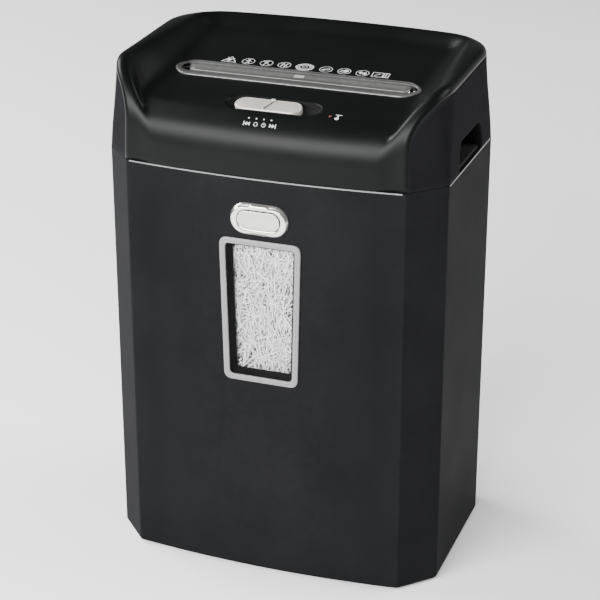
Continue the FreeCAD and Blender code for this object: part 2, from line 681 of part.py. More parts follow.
def gear_train():
    """Every gear by name, each in mesh with its neighbour."""
    gears = {}
    gears["rear_sync_gear"] = gear(SYNC_GEAR, SYNC_X, SYNC_WIDTH, REAR_AXIS, 0.0, JOURNAL_RADIUS)
    phase = mesh_phase(REAR_AXIS, SYNC_GEAR, 0.0, FRONT_AXIS, SYNC_GEAR)
    gears["front_sync_gear"] = gear(SYNC_GEAR, SYNC_X, SYNC_WIDTH, FRONT_AXIS, phase, JOURNAL_RADIUS)
    x, width = LAYERS[2]
    gears["drive_wheel"] = gear(DRIVE_WHEEL, x, width, REAR_AXIS, 0.0, JOURNAL_RADIUS)
    phase = mesh_phase(REAR_AXIS, DRIVE_WHEEL, 0.0, SECOND_AXIS, SECOND_PINION)
    pinion = gear(SECOND_PINION, x - 1, width + 1, SECOND_AXIS, phase, 4 + RUNNING_GAP)
    x, width = LAYERS[1]
    wheel = gear(SECOND_WHEEL, x, width, SECOND_AXIS, 0.0, 4 + RUNNING_GAP)
    gears["second_gear"] = wheel.fuse(pinion)
    phase = mesh_phase(SECOND_AXIS, SECOND_WHEEL, 0.0, FIRST_AXIS, FIRST_PINION)
    pinion = gear(FIRST_PINION, x - 1, width + 1, FIRST_AXIS, phase, 3 + RUNNING_GAP)
    x, width = LAYERS[0]
    wheel = gear(FIRST_WHEEL, x, width, FIRST_AXIS, 0.0, 3 + RUNNING_GAP)
    gears["first_gear"] = wheel.fuse(pinion)
    phase = mesh_phase(FIRST_AXIS, FIRST_WHEEL, 0.0, MOTOR_AXIS, MOTOR_PINION)
    gears["motor_pinion"] = gear(MOTOR_PINION, x, width, MOTOR_AXIS, phase, 2.5)
    return gears


def gear_axles():
    """Two stub axles fixed to the right-hand plate."""
    start = PLATE_X
    return Part.makeCompound([rod_x(3.0, start, 136.5, FIRST_AXIS).fuse(rod_x(4.5, 136.5, 138, FIRST_AXIS)),
                              rod_x(4.0, start, 141.6, SECOND_AXIS).fuse(rod_x(5.5, 141.6, 143, SECOND_AXIS))])


# ---------------------------------------------------------------- motor and electrics

MOTOR_RADIUS = 28.5


def motor_can():
    can = rod_x(MOTOR_RADIUS, 8, 110, MOTOR_AXIS)
    nose = rod_x(11, 110, PLATE_X, MOTOR_AXIS)
    slots = [box(20, 40, MOTOR_AXIS[0] - 2, MOTOR_AXIS[0] + 2, MOTOR_AXIS[1] + 20, MOTOR_AXIS[1] + 40)]
    hollow = rod_x(MOTOR_RADIUS - 2, 10, 108, MOTOR_AXIS)
    magnets = tube_x(MOTOR_RADIUS - 2, MOTOR_RADIUS - 8, 20, 98, MOTOR_AXIS)
    can = can.cut(hollow).cut(slots[0]).fuse(nose)
    return can.cut(rod_x(3.0, 0, 130, MOTOR_AXIS)), magnets.cut(slots[0])


def motor_end_cap():
    cap = rod_x(MOTOR_RADIUS, -2, 8, MOTOR_AXIS).cut(rod_x(MOTOR_RADIUS - 3, 2, 9, MOTOR_AXIS))
    return cap.cut(rod_x(3.0, -3, 9, MOTOR_AXIS))


def motor_screws():
    spots = [(MOTOR_AXIS[0] + 8 * cos(a), MOTOR_AXIS[1] + 8 * sin(a)) for a in (0.5, 0.5 + pi)]
    return [screw(V(PLATE_X + PLATE_THICK, y, z), V(-1, 0, 0), 1.5, 8, 2.6, 1.0) for y, z in spots]


def control_board():
    board = box(-108, -40, 42, 94, 394, 395.6)
    for x in (-104, -44):
        for y in (46, 90):
            board = board.cut(rod(1.7, V(x, y, 390), AXIS_Z, 10))
    return board


def board_posts():
    floor = TRAY_Z + TRAY_WALL
    return Part.makeCompound([rod(3.5, V(x, y, floor), AXIS_Z, 394 - floor)
                              for x in (-104, -44) for y in (46, 90)])


def board_screws():
    return Part.makeCompound([screw(V(x, y, 395.6), V(0, 0, -1), 1.6, 1.6, 3.0, 1.6)
                              for x in (-104, -44) for y in (46, 90)])


def board_parts():
    relays = [box(x, x + 19, 60, 75, 395.6, 411) for x in (-98, -76)]
    parts = relays + [box(-54, -44, 56, 82, 395.6, 403), box(-98, -60, 82, 88, 395.6, 406)]
    parts += [rod(5, V(x, 52, 395.6), AXIS_Z, 14) for x in (-94, -82, -70)]
    return Part.makeCompound(parts)


def capacitor():
    return rod(16, V(-20, 74, TRAY_Z + TRAY_WALL), AXIS_Z, 48).fuse(rod(14, V(-20, 74, 434), AXIS_Z, 4))


def thermal_cutout():
    x, y, z = 60, MOTOR_AXIS[0], MOTOR_AXIS[1] + MOTOR_RADIUS
    clip = box(x - 9, x + 9, y - 5, y + 5, z + 0.3, z + 5)
    return clip


def interlock_switch():
    """The switch on the tray wall that stops the motor when the head is off the bin."""
    body = box(-138, -124, -60, -40, TRAY_Z + TRAY_WALL, 402)
    return body.fuse(box(-134, -128, -54, -46, 402, 405))


def cable_gland():
    """The cord's exit in the rear wall; its flange stands as far out as the latch button."""
    x, z = -70, 436
    flange = rod(10, V(x, 115, z), AXIS_Y, -LATCH_FRONT_Y - 115)
    barrel = rod(6.0, V(x, 102, z), AXIS_Y, 14)
    nut = rod(9, V(x, 103, z), AXIS_Y, 4)
    return flange.multiFuse([barrel, nut]).cut(rod(3.6, V(x, 90, z), AXIS_Y, 40))


def housing_screws():
    """The screws that hold the tray up to the housing's bosses, heads down."""
    return Part.makeCompound([screw(V(x, y, TRAY_Z), AXIS_Z, 1.8, 2.5, 3.6, 2.0)
                              for x in (-140, 140) for y in (-64, 64)])


# ---------------------------------------------------------------- build

def build():
    os.makedirs("parts", exist_ok=True)
    shell = bin_shell()
    save("bin_shell", shell)
    save("bin_rim_trim", Part.makeCompound(rim_strips(0.0)))
    save("window_frame", window_frame(shell))
    save("window_pane", window_pane())
    save("bin_feet", feet())
    save("paper_shreds", paper_shreds())
    save("latch_surround", latch_surround(shell))
    save("latch_button", latch_button())
    save("latch_slide", latch_slide())
    save("latch_bracket", latch_bracket())
    save("latch_screws", latch_screws())
    save("latch_spring", latch_spring())

    below = under_top()
    block = head_prism().common(below)
    zone = inner_zone()
    save("head_housing", head_housing(block, zone))
    save("top_cover", top_cover(block, zone, below))
    save("slot_bezel", slot_bezel())
    save("rear_guide", rear_guide())
    save("front_guide", front_guide())
    save("switch_tray", switch_tray())
    save("mode_knob", mode_knob())
    save("mode_switch_block", mode_switch_block())
    save("overheat_lamp", overheat_lamp())
    save("cable_gland", cable_gland())

    save("lower_tray", lower_tray())
    save("head_catch", head_catch())
    save("housing_screws", housing_screws())
    save("left_frame_plate", frame_plate(-1, 34))
    right = frame_plate(1, 98)
    right = right.cut(rod_x(5.0, PLATE_X - 1, PLATE_X + 6, MOTOR_AXIS))
    for axis, radius in ((FIRST_AXIS, 3.0), (SECOND_AXIS, 4.0)):
        right = right.cut(rod_x(radius, PLATE_X - 1, PLATE_X + 6, axis))
    can, magnets = motor_can()
    screws = motor_screws()
    for piece in screws:
        right = right.cut(piece)
        can = can.cut(piece)
    save("right_frame_plate", right)
    save("motor_can", can)
    save("motor_magnets", magnets)
    save("motor_screws", Part.makeCompound(screws))
    save("motor_end_cap", motor_end_cap())
    save("motor_shaft", rod_x(2.5, 0, LAYERS[0][0] + LAYERS[0][1] + 1, MOTOR_AXIS))
    save("tie_rods", tie_rods())
    save("frame_nuts", frame_nuts())
    save("bushes", bushes())
    save("gear_axles", gear_axles())
    save("front_cutter", cutter(FRONT_AXIS, 2.0, SYNC_X - 1, PLATE_X + PLATE_THICK))
    save("rear_cutter", cutter(REAR_AXIS, 6.0, SYNC_X - 1, 141.8))
    save("front_comb", comb(FRONT_AXIS, -1, 2.0))
    save("rear_comb", comb(REAR_AXIS, 1, 6.0))
    for name, shape in gear_train().items():
        save(name, shape)

    save("control_board", control_board())
    save("board_posts", board_posts())
    save("board_screws", board_screws())
    save("board_parts", board_parts())
    save("capacitor", capacitor())
    save("thermal_cutout", thermal_cutout())
    save("interlock_switch", interlock_switch())


build()
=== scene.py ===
import math
import random
import bmesh
import bpy
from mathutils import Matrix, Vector
from mathutils.bvhtree import BVHTree


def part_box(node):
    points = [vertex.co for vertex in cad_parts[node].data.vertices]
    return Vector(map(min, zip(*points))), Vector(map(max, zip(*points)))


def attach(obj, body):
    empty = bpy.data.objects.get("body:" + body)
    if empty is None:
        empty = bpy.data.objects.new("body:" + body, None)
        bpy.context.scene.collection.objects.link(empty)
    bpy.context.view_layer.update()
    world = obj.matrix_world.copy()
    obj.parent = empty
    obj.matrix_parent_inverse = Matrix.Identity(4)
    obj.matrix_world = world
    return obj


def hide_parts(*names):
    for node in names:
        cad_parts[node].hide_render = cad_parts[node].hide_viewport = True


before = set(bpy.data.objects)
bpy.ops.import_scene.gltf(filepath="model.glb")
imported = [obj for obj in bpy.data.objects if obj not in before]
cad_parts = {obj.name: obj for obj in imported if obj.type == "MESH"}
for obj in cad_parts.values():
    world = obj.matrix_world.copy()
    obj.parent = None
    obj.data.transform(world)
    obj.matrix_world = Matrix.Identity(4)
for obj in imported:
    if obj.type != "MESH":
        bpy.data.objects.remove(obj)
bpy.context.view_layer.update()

mm = 0.001
print("frame loaded:", len(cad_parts), "nodes")


# small helpers

def smooth(t):
    t = min(1.0, max(0.0, t))
    return t * t * (3 - 2 * t)


def mix(a, b, share):
    return a * (1 - share) + b * share


def topOf(node):
    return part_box(node)[1] / mm


def makePiece(bm, name, material, body, replaces=None, inMillimetres=True, angle=35):
    # bm becomes a finished object that rides on a body
    if inMillimetres:
        bmesh.ops.scale(bm, vec=Vector((mm, mm, mm)), verts=bm.verts)
    mesh = bpy.data.meshes.new(name)
    bm.to_mesh(mesh)
    bm.free()
    piece = bpy.data.objects.new(name, mesh)
    bpy.context.scene.collection.objects.link(piece)
    mesh.materials.append(material)
    mesh.shade_smooth()
    mesh.set_sharp_from_angle(angle=math.radians(angle))
    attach(piece, body)
    if replaces:
        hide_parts(*replaces)
    return piece


def addModifier(piece, kind, **values):
    modifier = piece.modifiers.new(kind.title(), kind)
    for key, value in values.items():
        setattr(modifier, key, value)
    return modifier


def faced(bm):
    # faces point outwards
    bmesh.ops.recalc_face_normals(bm, faces=bm.faces)
    return bm


def newGroup(name, inputs, outputs):
    group = bpy.data.node_groups.new(name, "ShaderNodeTree")
    for label, kind, value in inputs:
        socket = group.interface.new_socket(label, in_out="INPUT", socket_type=kind)
        if value is not None:
            socket.default_value = value
    for label, kind in outputs:
        group.interface.new_socket(label, in_out="OUTPUT", socket_type=kind)
    return group, group.nodes.new("NodeGroupInput"), group.nodes.new("NodeGroupOutput")


def buildMouldGrain():
    # fine moulded grain: a height for the bump and a slow mottle for colour
    group, source, sink = newGroup(
        "mouldGrain",
        [("Grain Scale", "NodeSocketFloat", 2600.0), ("Mottle Scale", "NodeSocketFloat", 14.0)],
        [("Height", "NodeSocketFloat"), ("Mottle", "NodeSocketFloat")])
    nodes, links = group.nodes, group.links
    coords = nodes.new("ShaderNodeTexCoord")
    cells = nodes.new("ShaderNodeTexVoronoi")
    cells.feature = "SMOOTH_F1"
    grain = nodes.new("ShaderNodeTexNoise")
    grain.inputs["Detail"].default_value = 3.0
    slow = nodes.new("ShaderNodeTexNoise")
    slow.inputs["Detail"].default_value = 4.0
    both = nodes.new("ShaderNodeMath")
    both.operation = "ADD"
    for node in (cells, grain, slow):
        links.new(coords.outputs["Object"], node.inputs["Vector"])
    links.new(source.outputs["Grain Scale"], cells.inputs["Scale"])
    links.new(source.outputs["Grain Scale"], grain.inputs["Scale"])
    links.new(source.outputs["Mottle Scale"], slow.inputs["Scale"])
    links.new(cells.outputs["Distance"], both.inputs[0])
    links.new(grain.outputs["Fac"], both.inputs[1])
    links.new(both.outputs[0], sink.inputs["Height"])
    links.new(slow.outputs["Fac"], sink.inputs["Mottle"])
    return group


def buildEdgeWear():
    # a mask that is 1 on worn convex edges, broken up by noise
    group, source, sink = newGroup(
        "edgeWear", [("Amount", "NodeSocketFloat", 0.5), ("Break Scale", "NodeSocketFloat", 180.0)],
        [("Mask", "NodeSocketFloat")])
    nodes, links = group.nodes, group.links
    shape = nodes.new("ShaderNodeNewGeometry")
    band = nodes.new("ShaderNodeMapRange")
    band.inputs["From Min"].default_value = 0.505
    band.inputs["From Max"].default_value = 0.56
    coords = nodes.new("ShaderNodeTexCoord")
    noise = nodes.new("ShaderNodeTexNoise")
    noise.inputs["Detail"].default_value = 5.0
    times = nodes.new("ShaderNodeMath")
    times.operation = "MULTIPLY"
    scaled = nodes.new("ShaderNodeMath")
    scaled.operation = "MULTIPLY"
    links.new(shape.outputs["Pointiness"], band.inputs["Value"])
    links.new(coords.outputs["Object"], noise.inputs["Vector"])
    links.new(source.outputs["Break Scale"], noise.inputs["Scale"])
    links.new(band.outputs["Result"], times.inputs[0])
    links.new(noise.outputs["Fac"], times.inputs[1])
    links.new(times.outputs[0], scaled.inputs[0])
    links.new(source.outputs["Amount"], scaled.inputs[1])
    links.new(scaled.outputs[0], sink.inputs["Mask"])
    return group


def buildBrushed():
    # long streaks along one axis, for turned and rolled metal
    group, source, sink = newGroup(
        "brushedStreaks",
        [("Stretch", "NodeSocketVector", (4.0, 900.0, 900.0)), ("Detail", "NodeSocketFloat", 6.0)],
        [("Streak", "NodeSocketFloat")])
    nodes, links = group.nodes, group.links
    coords = nodes.new("ShaderNodeTexCoord")
    place = nodes.new("ShaderNodeMapping")
    noise = nodes.new("ShaderNodeTexNoise")
    noise.inputs["Scale"].default_value = 1.0
    links.new(coords.outputs["Object"], place.inputs["Vector"])
    links.new(source.outputs["Stretch"], place.inputs["Scale"])
    links.new(place.outputs["Vector"], noise.inputs["Vector"])
    links.new(source.outputs["Detail"], noise.inputs["Detail"])
    links.new(noise.outputs["Fac"], sink.inputs["Streak"])
    return group


groups = {"grain": buildMouldGrain(), "wear": buildEdgeWear(), "brushed": buildBrushed()}


def startMaterial(name):
    material = bpy.data.materials.new(name)
    material.use_nodes = True
    nodes = material.node_tree.nodes
    return material, nodes, material.node_tree.links, nodes["Principled BSDF"]


def placeGroup(nodes, key, **values):
    node = nodes.new("ShaderNodeGroup")
    node.node_tree = groups[key]
    for label, value in values.items():
        node.inputs[label.replace("_", " ")].default_value = value
    return node


def ranged(nodes, links, value, low, high, fromLow=0.0, fromHigh=1.0):
    node = nodes.new("ShaderNodeMapRange")
    node.inputs["From Min"].default_value = fromLow
    node.inputs["From Max"].default_value = fromHigh
    node.inputs["To Min"].default_value = low
    node.inputs["To Max"].default_value = high
    links.new(value, node.inputs["Value"])
    return node.outputs["Result"]


def colourMix(nodes, links, share, first, second):
    node = nodes.new("ShaderNodeMix")
    node.data_type = "RGBA"
    links.new(share, node.inputs["Factor"])
    for socket, value in ((node.inputs[6], first), (node.inputs[7], second)):
        if isinstance(value, tuple):
            socket.default_value = (*value, 1.0)
        else:
            links.new(value, socket)
    return node.outputs[2]


def plasticMaterial(name, dark, light, roughness, bump=0.0, grainScale=2600.0, wear=0.0,
                    wearColour=(0.2, 0.2, 0.2), specular=0.5, coat=0.0, coatRoughness=0.05, metallic=0.0,
                    mottle=14.0, bumpDistance=0.0001):
    # moulded plastic or lacquer: mottled colour, uneven gloss, grain in the bump
    material, nodes, links, shader = startMaterial(name)
    grain = placeGroup(nodes, "grain", Grain_Scale=grainScale, Mottle_Scale=mottle)
    share = ranged(nodes, links, grain.outputs["Mottle"], 0.0, 1.0, 0.35, 0.65)
    colour = colourMix(nodes, links, share, dark, light)
    if wear:
        mask = placeGroup(nodes, "wear", Amount=wear)
        colour = colourMix(nodes, links, mask.outputs["Mask"], colour, wearColour)
    links.new(colour, shader.inputs["Base Color"])
    links.new(ranged(nodes, links, grain.outputs["Mottle"], roughness[0], roughness[1], 0.3, 0.7),
              shader.inputs["Roughness"])
    if bump:
        node = nodes.new("ShaderNodeBump")
        node.inputs["Strength"].default_value = bump
        node.inputs["Distance"].default_value = bumpDistance
        links.new(grain.outputs["Height"], node.inputs["Height"])
        links.new(node.outputs["Normal"], shader.inputs["Normal"])
    shader.inputs["Metallic"].default_value = metallic
    shader.inputs["Specular IOR Level"].default_value = specular
    shader.inputs["Coat Weight"].default_value = coat
    shader.inputs["Coat Roughness"].default_value = coatRoughness
    return material


def metalMaterial(name, dark, light, roughness, stretch=(4.0, 900.0, 900.0), wear=0.3):
    # bare metal with fine streaks and brighter worn edges
    material, nodes, links, shader = startMaterial(name)
    streak = placeGroup(nodes, "brushed", Stretch=stretch)
    mask = placeGroup(nodes, "wear", Amount=wear)
    share = ranged(nodes, links, streak.outputs["Streak"], 0.0, 1.0, 0.3, 0.7)
    colour = colourMix(nodes, links, share, dark, light)
    colour = colourMix(nodes, links, mask.outputs["Mask"], colour, tuple(min(1.0, c * 1.5) for c in light))
    links.new(colour, shader.inputs["Base Color"])
    links.new(ranged(nodes, links, streak.outputs["Streak"], roughness[0], roughness[1], 0.3, 0.7),
              shader.inputs["Roughness"])
    bump = nodes.new("ShaderNodeBump")
    bump.inputs["Strength"].default_value = 0.25
    bump.inputs["Distance"].default_value = 0.00005
    links.new(streak.outputs["Streak"], bump.inputs["Height"])
    links.new(bump.outputs["Normal"], shader.inputs["Normal"])
    shader.inputs["Metallic"].default_value = 1.0
    return material


def glassMaterial():
    material, nodes, links, shader = startMaterial("windowClear")
    grain = placeGroup(nodes, "grain", Mottle_Scale=9.0)
    links.new(ranged(nodes, links, grain.outputs["Mottle"], 0.02, 0.08, 0.3, 0.7),
              shader.inputs["Roughness"])
    shader.inputs["Base Color"].default_value = (0.03, 0.032, 0.03, 1)
    shader.inputs["Alpha"].default_value = 0.1
    shader.inputs["IOR"].default_value = 1.46
    return material


def paperMaterial():
    # white strips, each a little different, some printed on; the heap's body has no stripTone and takes the
    # dark end, a painted shade for the depth between the strips
    material, nodes, links, shader = startMaterial("shreddedPaper")
    tone = nodes.new("ShaderNodeAttribute")
    tone.attribute_name = "stripTone"
    grain = placeGroup(nodes, "grain", Grain_Scale=1400.0, Mottle_Scale=260.0)
    # tone 0, which the heap's body gets, is the dark end: painted shade, not darker paper
    base = colourMix(nodes, links, tone.outputs["Fac"], (0.3, 0.3, 0.32), (0.94, 0.94, 0.95))
    inked = ranged(nodes, links, grain.outputs["Mottle"], 0.0, 0.3, 0.6, 0.68)
    links.new(colourMix(nodes, links, inked, base, (0.2, 0.2, 0.22)), shader.inputs["Base Color"])
    links.new(ranged(nodes, links, grain.outputs["Mottle"], 0.75, 0.9, 0.3, 0.7), shader.inputs["Roughness"])
    shader.inputs["Specular IOR Level"].default_value = 0.2
    return material


def printMaterial(name, colour, emission=0.0):
    # printed ink with a faint unevenness
    material, nodes, links, shader = startMaterial(name)
    grain = placeGroup(nodes, "grain", Grain_Scale=900.0, Mottle_Scale=400.0)
    faded = tuple(c * 0.8 for c in colour)
    share = ranged(nodes, links, grain.outputs["Mottle"], 0.0, 1.0, 0.4, 0.7)
    links.new(colourMix(nodes, links, share, colour, faded), shader.inputs["Base Color"])
    shader.inputs["Roughness"].default_value = 0.45
    if emission:
        shader.inputs["Emission Color"].default_value = (*colour, 1)
        shader.inputs["Emission Strength"].default_value = emission
    return material


# name: dark, light, roughness, other values
plastics = {
    "binPlastic": ((0.0062, 0.0064, 0.007), (0.0078, 0.008, 0.0087), (0.45, 0.53),
                   {"bump": 0.15, "grainScale": 1700.0, "wear": 0.02, "specular": 0.01}),
    "housingPlastic": ((0.0065, 0.0065, 0.0075), (0.0095, 0.0095, 0.011), (0.5, 0.6),
                       {"bump": 0.75, "grainScale": 1300.0, "wear": 0.03, "specular": 0.005}),
    "coverGloss": ((0.0018, 0.0021, 0.0021), (0.0026, 0.003, 0.003), (0.34, 0.4),
                   {"bump": 0.03, "grainScale": 420.0, "specular": 0.1}),
    "windowGrey": ((0.16, 0.153, 0.155), (0.2, 0.192, 0.194), (0.4, 0.5),
                   {"bump": 0.1, "wear": 0.25, "metallic": 0.15, "wearColour": (0.6, 0.6, 0.6)}),
    "bezelGrey": ((0.035, 0.0345, 0.034), (0.05, 0.049, 0.048), (0.28, 0.36),
                  {"bump": 0.1, "metallic": 0.25, "wear": 0.3, "wearColour": (0.6, 0.6, 0.6)}),
    "guideGrey": ((0.06, 0.059, 0.057), (0.085, 0.083, 0.081), (0.3, 0.4),
                  {"bump": 0.12, "metallic": 0.4, "wear": 0.2, "wearColour": (0.6, 0.6, 0.6)}),
    "latchChrome": ((0.6, 0.59, 0.57), (0.7, 0.69, 0.67), (0.16, 0.22), {"bump": 0.03, "metallic": 0.9}),
    "latchSilver": ((0.47, 0.46, 0.44), (0.54, 0.53, 0.51), (0.26, 0.36),
                    {"bump": 0.04, "metallic": 0.35, "coat": 0.2, "wear": 0.3,
                     "wearColour": (0.85, 0.85, 0.85)}),
    "knobSilver": ((0.42, 0.4, 0.365), (0.49, 0.47, 0.43), (0.3, 0.38),
                   {"bump": 0.06, "metallic": 0.35, "coat": 0.15, "wear": 0.3,
                    "wearColour": (0.85, 0.83, 0.8)}),
    "innerBlack": ((0.006, 0.006, 0.006), (0.01, 0.01, 0.0105), (0.5, 0.62),
                   {"bump": 0.2, "specular": 0.03}),
    "trayBlack": ((0.01, 0.01, 0.011), (0.015, 0.015, 0.016), (0.5, 0.62),
                  {"bump": 0.3, "wear": 0.1, "specular": 0.08}),
    "softRubber": ((0.016, 0.016, 0.016), (0.025, 0.025, 0.025), (0.7, 0.82),
                   {"bump": 0.4, "grainScale": 1500.0}),
    "naturalNylon": ((0.55, 0.53, 0.46), (0.66, 0.63, 0.56), (0.38, 0.5), {"bump": 0.1}),
    "boardGreen": ((0.01, 0.075, 0.03), (0.02, 0.12, 0.05), (0.3, 0.4), {"mottle": 120.0}),
    "ferriteDark": ((0.05, 0.05, 0.052), (0.08, 0.08, 0.083), (0.6, 0.7), {"bump": 0.4}),
}
# key: name, dark, light, roughness, stretch of the streaks
metals = {
    # the rim strip's bright metal is a painted highlight standing for the light caught on the bin's top edge
    "trimBright": ("trimBright", (0.15, 0.15, 0.15), (0.22, 0.22, 0.22), (0.35, 0.45), (4.0, 900.0, 900.0)),
    "steel": ("zincSteel", (0.42, 0.43, 0.45), (0.6, 0.61, 0.63), (0.3, 0.45), (60.0, 60.0, 900.0)),
    "cutterSteel": ("cutterSteel", (0.3, 0.29, 0.28), (0.5, 0.49, 0.47), (0.25, 0.4), (900.0, 60.0, 60.0)),
    "gearSteel": ("gearSteel", (0.3, 0.3, 0.31), (0.48, 0.48, 0.5), (0.32, 0.45), (900.0, 80.0, 80.0)),
    "turnedSteel": ("turnedSteel", (0.5, 0.5, 0.51), (0.68, 0.68, 0.7), (0.18, 0.3), (900.0, 6.0, 6.0)),
    "brass": ("bushBrass", (0.48, 0.34, 0.13), (0.68, 0.5, 0.22), (0.25, 0.4), (900.0, 30.0, 30.0)),
    "aluminium": ("aluminiumCan", (0.62, 0.63, 0.64), (0.78, 0.79, 0.8), (0.28, 0.4), (30.0, 30.0, 700.0)),
}
materials = {"windowClear": glassMaterial(), "paper": paperMaterial()}
for name, (dark, light, roughness, values) in plastics.items():
    materials[name] = plasticMaterial(name, dark, light, roughness, **values)
for key, values in metals.items():
    materials[key] = metalMaterial(*values)
materials["whiteInk"] = printMaterial("whiteInk", (0.5, 0.51, 0.5))
materials["redLens"] = printMaterial("redLens", (0.14, 0.012, 0.012), emission=0.02)
print("materials made:", len(materials))

# the finish of each CAD node that stays as it is
cadFinish = {
    # the rim trim's bright finish is a painted highlight along the bin's top edge
    "bin_shell": "binPlastic", "bin_rim_trim": "trimBright",
    "window_pane": "windowClear", "bin_feet": "softRubber", "latch_bracket": "innerBlack",
    "latch_screws": "turnedSteel", "latch_slide": "innerBlack", "latch_spring": "turnedSteel",
    "front_guide": "guideGrey",
    "mode_switch_block": "innerBlack", "cable_gland": "softRubber", "lower_tray": "trayBlack",
    "head_catch": "trayBlack", "housing_screws": "turnedSteel", "left_frame_plate": "steel",
    "right_frame_plate": "steel", "motor_can": "steel", "motor_magnets": "ferriteDark",
    "motor_screws": "turnedSteel", "motor_end_cap": "innerBlack", "tie_rods": "turnedSteel",
    "frame_nuts": "turnedSteel", "bushes": "brass", "gear_axles": "turnedSteel",
    "front_cutter": "cutterSteel", "rear_cutter": "cutterSteel", "front_sync_gear": "gearSteel",
    "rear_sync_gear": "gearSteel", "drive_wheel": "gearSteel", "front_comb": "trayBlack",
    "rear_comb": "trayBlack", "second_gear": "naturalNylon", "first_gear": "naturalNylon",
    "motor_shaft": "turnedSteel", "motor_pinion": "brass", "control_board": "boardGreen",
    "board_posts": "trayBlack", "board_screws": "turnedSteel", "board_parts": "innerBlack",
    "capacitor": "aluminium", "thermal_cutout": "innerBlack", "interlock_switch": "innerBlack",
}
for node, finish in cadFinish.items():
    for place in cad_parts[node].material_slots:
        place.material = materials[finish]


# the head's outer surfaces, in millimetres

splitZ = topOf("bin_shell").z
head = {
    "halfWidth": topOf("bin_shell").x,
    "halfDepth": topOf("bin_shell").y,
    "sideHalf": 74.0,
    "cornerX": 135.8,
    "cornerY": 106.3,
    "leanIn": 4.9,            # inwards at leanTop
    "leanTop": 510.0,
    "gap": 0.35,              # shadow line above the bin's rim
    "fieldY": -85.0,          # the sloping top starts here
    "fieldZ": 468.0,
    "fieldSlope": 0.1357,
    "frontDepth": 30.0,       # the front curves back by this much
    "frontRise": 38.0,        # over this height
    "cheekFront": 0.8,        # the cheeks rise outside this share of the half width
    "cheekBack": 0.76,
    "crestSide": (499.0, 501.5),
    "crestRear": 502.0,
    "rollFront": 3.0,         # how far the edge rolls over at the front corner
    "rollTop": 7.0,
    "creaseStart": 447.0,     # the crease leaves the vertical here
    "creaseReach": 57.0,      # and is level this much further round
    "softLow": 2.5,           # corner rounding at the bottom and at the top
    "softSide": 22.0,
    "softRear": 21.0,
    "wall": 2.6,
}
chamferRun = Vector((head["cornerX"] - head["halfWidth"], head["cornerY"] - head["sideHalf"]))
chamferLength = chamferRun.length
sideLength = 2 * head["sideHalf"]
bowRise = head["halfDepth"] - head["cornerY"]
bowRadius = (head["cornerX"]**2 + bowRise**2) / (2 * bowRise)
rearLength = bowRadius * math.asin(head["cornerX"] / bowRadius)
wallLength = 2 * chamferLength + sideLength + rearLength


def flatPlan(distance, inset):
    # a point on the octagon's right half, by distance from the front corner, moved inwards
    run = chamferRun.normalized()
    normal = Vector((run.y, -run.x))
    reach = normal.x * head["halfWidth"] + normal.y * head["sideHalf"] - inset
    sideX = head["halfWidth"] - inset
    sideY = (reach - normal.x * sideX) / normal.y
    centreY = head["halfDepth"] - bowRadius
    ahead = reach - normal.y * centreY
    along = math.sqrt((bowRadius - inset)**2 - ahead**2)
    corner = Vector((normal.x * ahead + run.x * along, centreY + normal.y * ahead + run.y * along))
    if distance < chamferLength:
        share = distance / chamferLength
        return Vector((mix(corner.x, sideX, share), mix(-corner.y, -sideY, share)))
    distance -= chamferLength
    if distance < sideLength:
        return Vector((sideX, mix(-sideY, sideY, distance / sideLength)))
    distance -= sideLength
    if distance < chamferLength:
        share = distance / chamferLength
        return Vector((mix(sideX, corner.x, share), mix(sideY, corner.y, share)))
    share = min(1.0, (distance - chamferLength) / rearLength)
    turn = math.asin(corner.x / (bowRadius - inset)) * (1 - share)
    return Vector(((bowRadius - inset) * math.sin(turn), centreY + (bowRadius - inset) * math.cos(turn)))


def wallPoint(distance, z):
    # a point on the head's leaning wall, its corners softer towards the top
    height = (z - splitZ) / (head["leanTop"] - splitZ)
    inset = head["leanIn"] * height
    rise = smooth(height / 0.8)
    corners = ((chamferLength, mix(head["softLow"], head["softSide"], rise)),
               (chamferLength + sideLength, mix(head["softLow"], head["softRear"], rise)),
               (2 * chamferLength + sideLength, mix(head["softLow"], head["softRear"], rise)))
    for place, soft in corners:
        if abs(distance - place) < soft:
            t = (distance - place + soft) / (2 * soft)
            before = flatPlan(place - soft, inset)
            after = flatPlan(place + soft, inset)
            plan = before * (1 - t)**2 + flatPlan(place, inset) * 2 * t * (1 - t) + after * t * t
            return Vector((plan.x, plan.y, z))
    plan = flatPlan(max(0.0, distance), inset)
    return Vector((plan.x, plan.y, z))


def inward(distance, z):
    # the level direction from the wall towards the middle of the head
    step = wallPoint(distance + 0.5, z) - wallPoint(max(0.0, distance - 0.5), z)
    return Vector((-step.y, step.x, 0)).normalized()


def crestHeight(distance):
    # height of the rolled rim above the wall, beyond the front curve
    low, high = head["crestSide"]
    start = head["rollFront"] + head["creaseReach"]
    end = chamferLength + sideLength
    if distance < end:
        return mix(low, high, smooth((distance - start) / (end - start)))
    return mix(high, head["crestRear"], smooth((distance - end) / (2 * chamferLength)))


def creaseHeight(distance):
    # where the matt wall ends and the gloss cover starts
    start = head["rollFront"]
    reach = head["creaseReach"]
    if distance >= start + reach:
        return crestHeight(distance) - head["rollTop"]
    share = (start + reach - distance) / reach
    rise = crestHeight(start + reach) - head["rollTop"] - head["creaseStart"]
    return head["creaseStart"] + rise * math.sqrt(max(0.0, 1 - share * share))


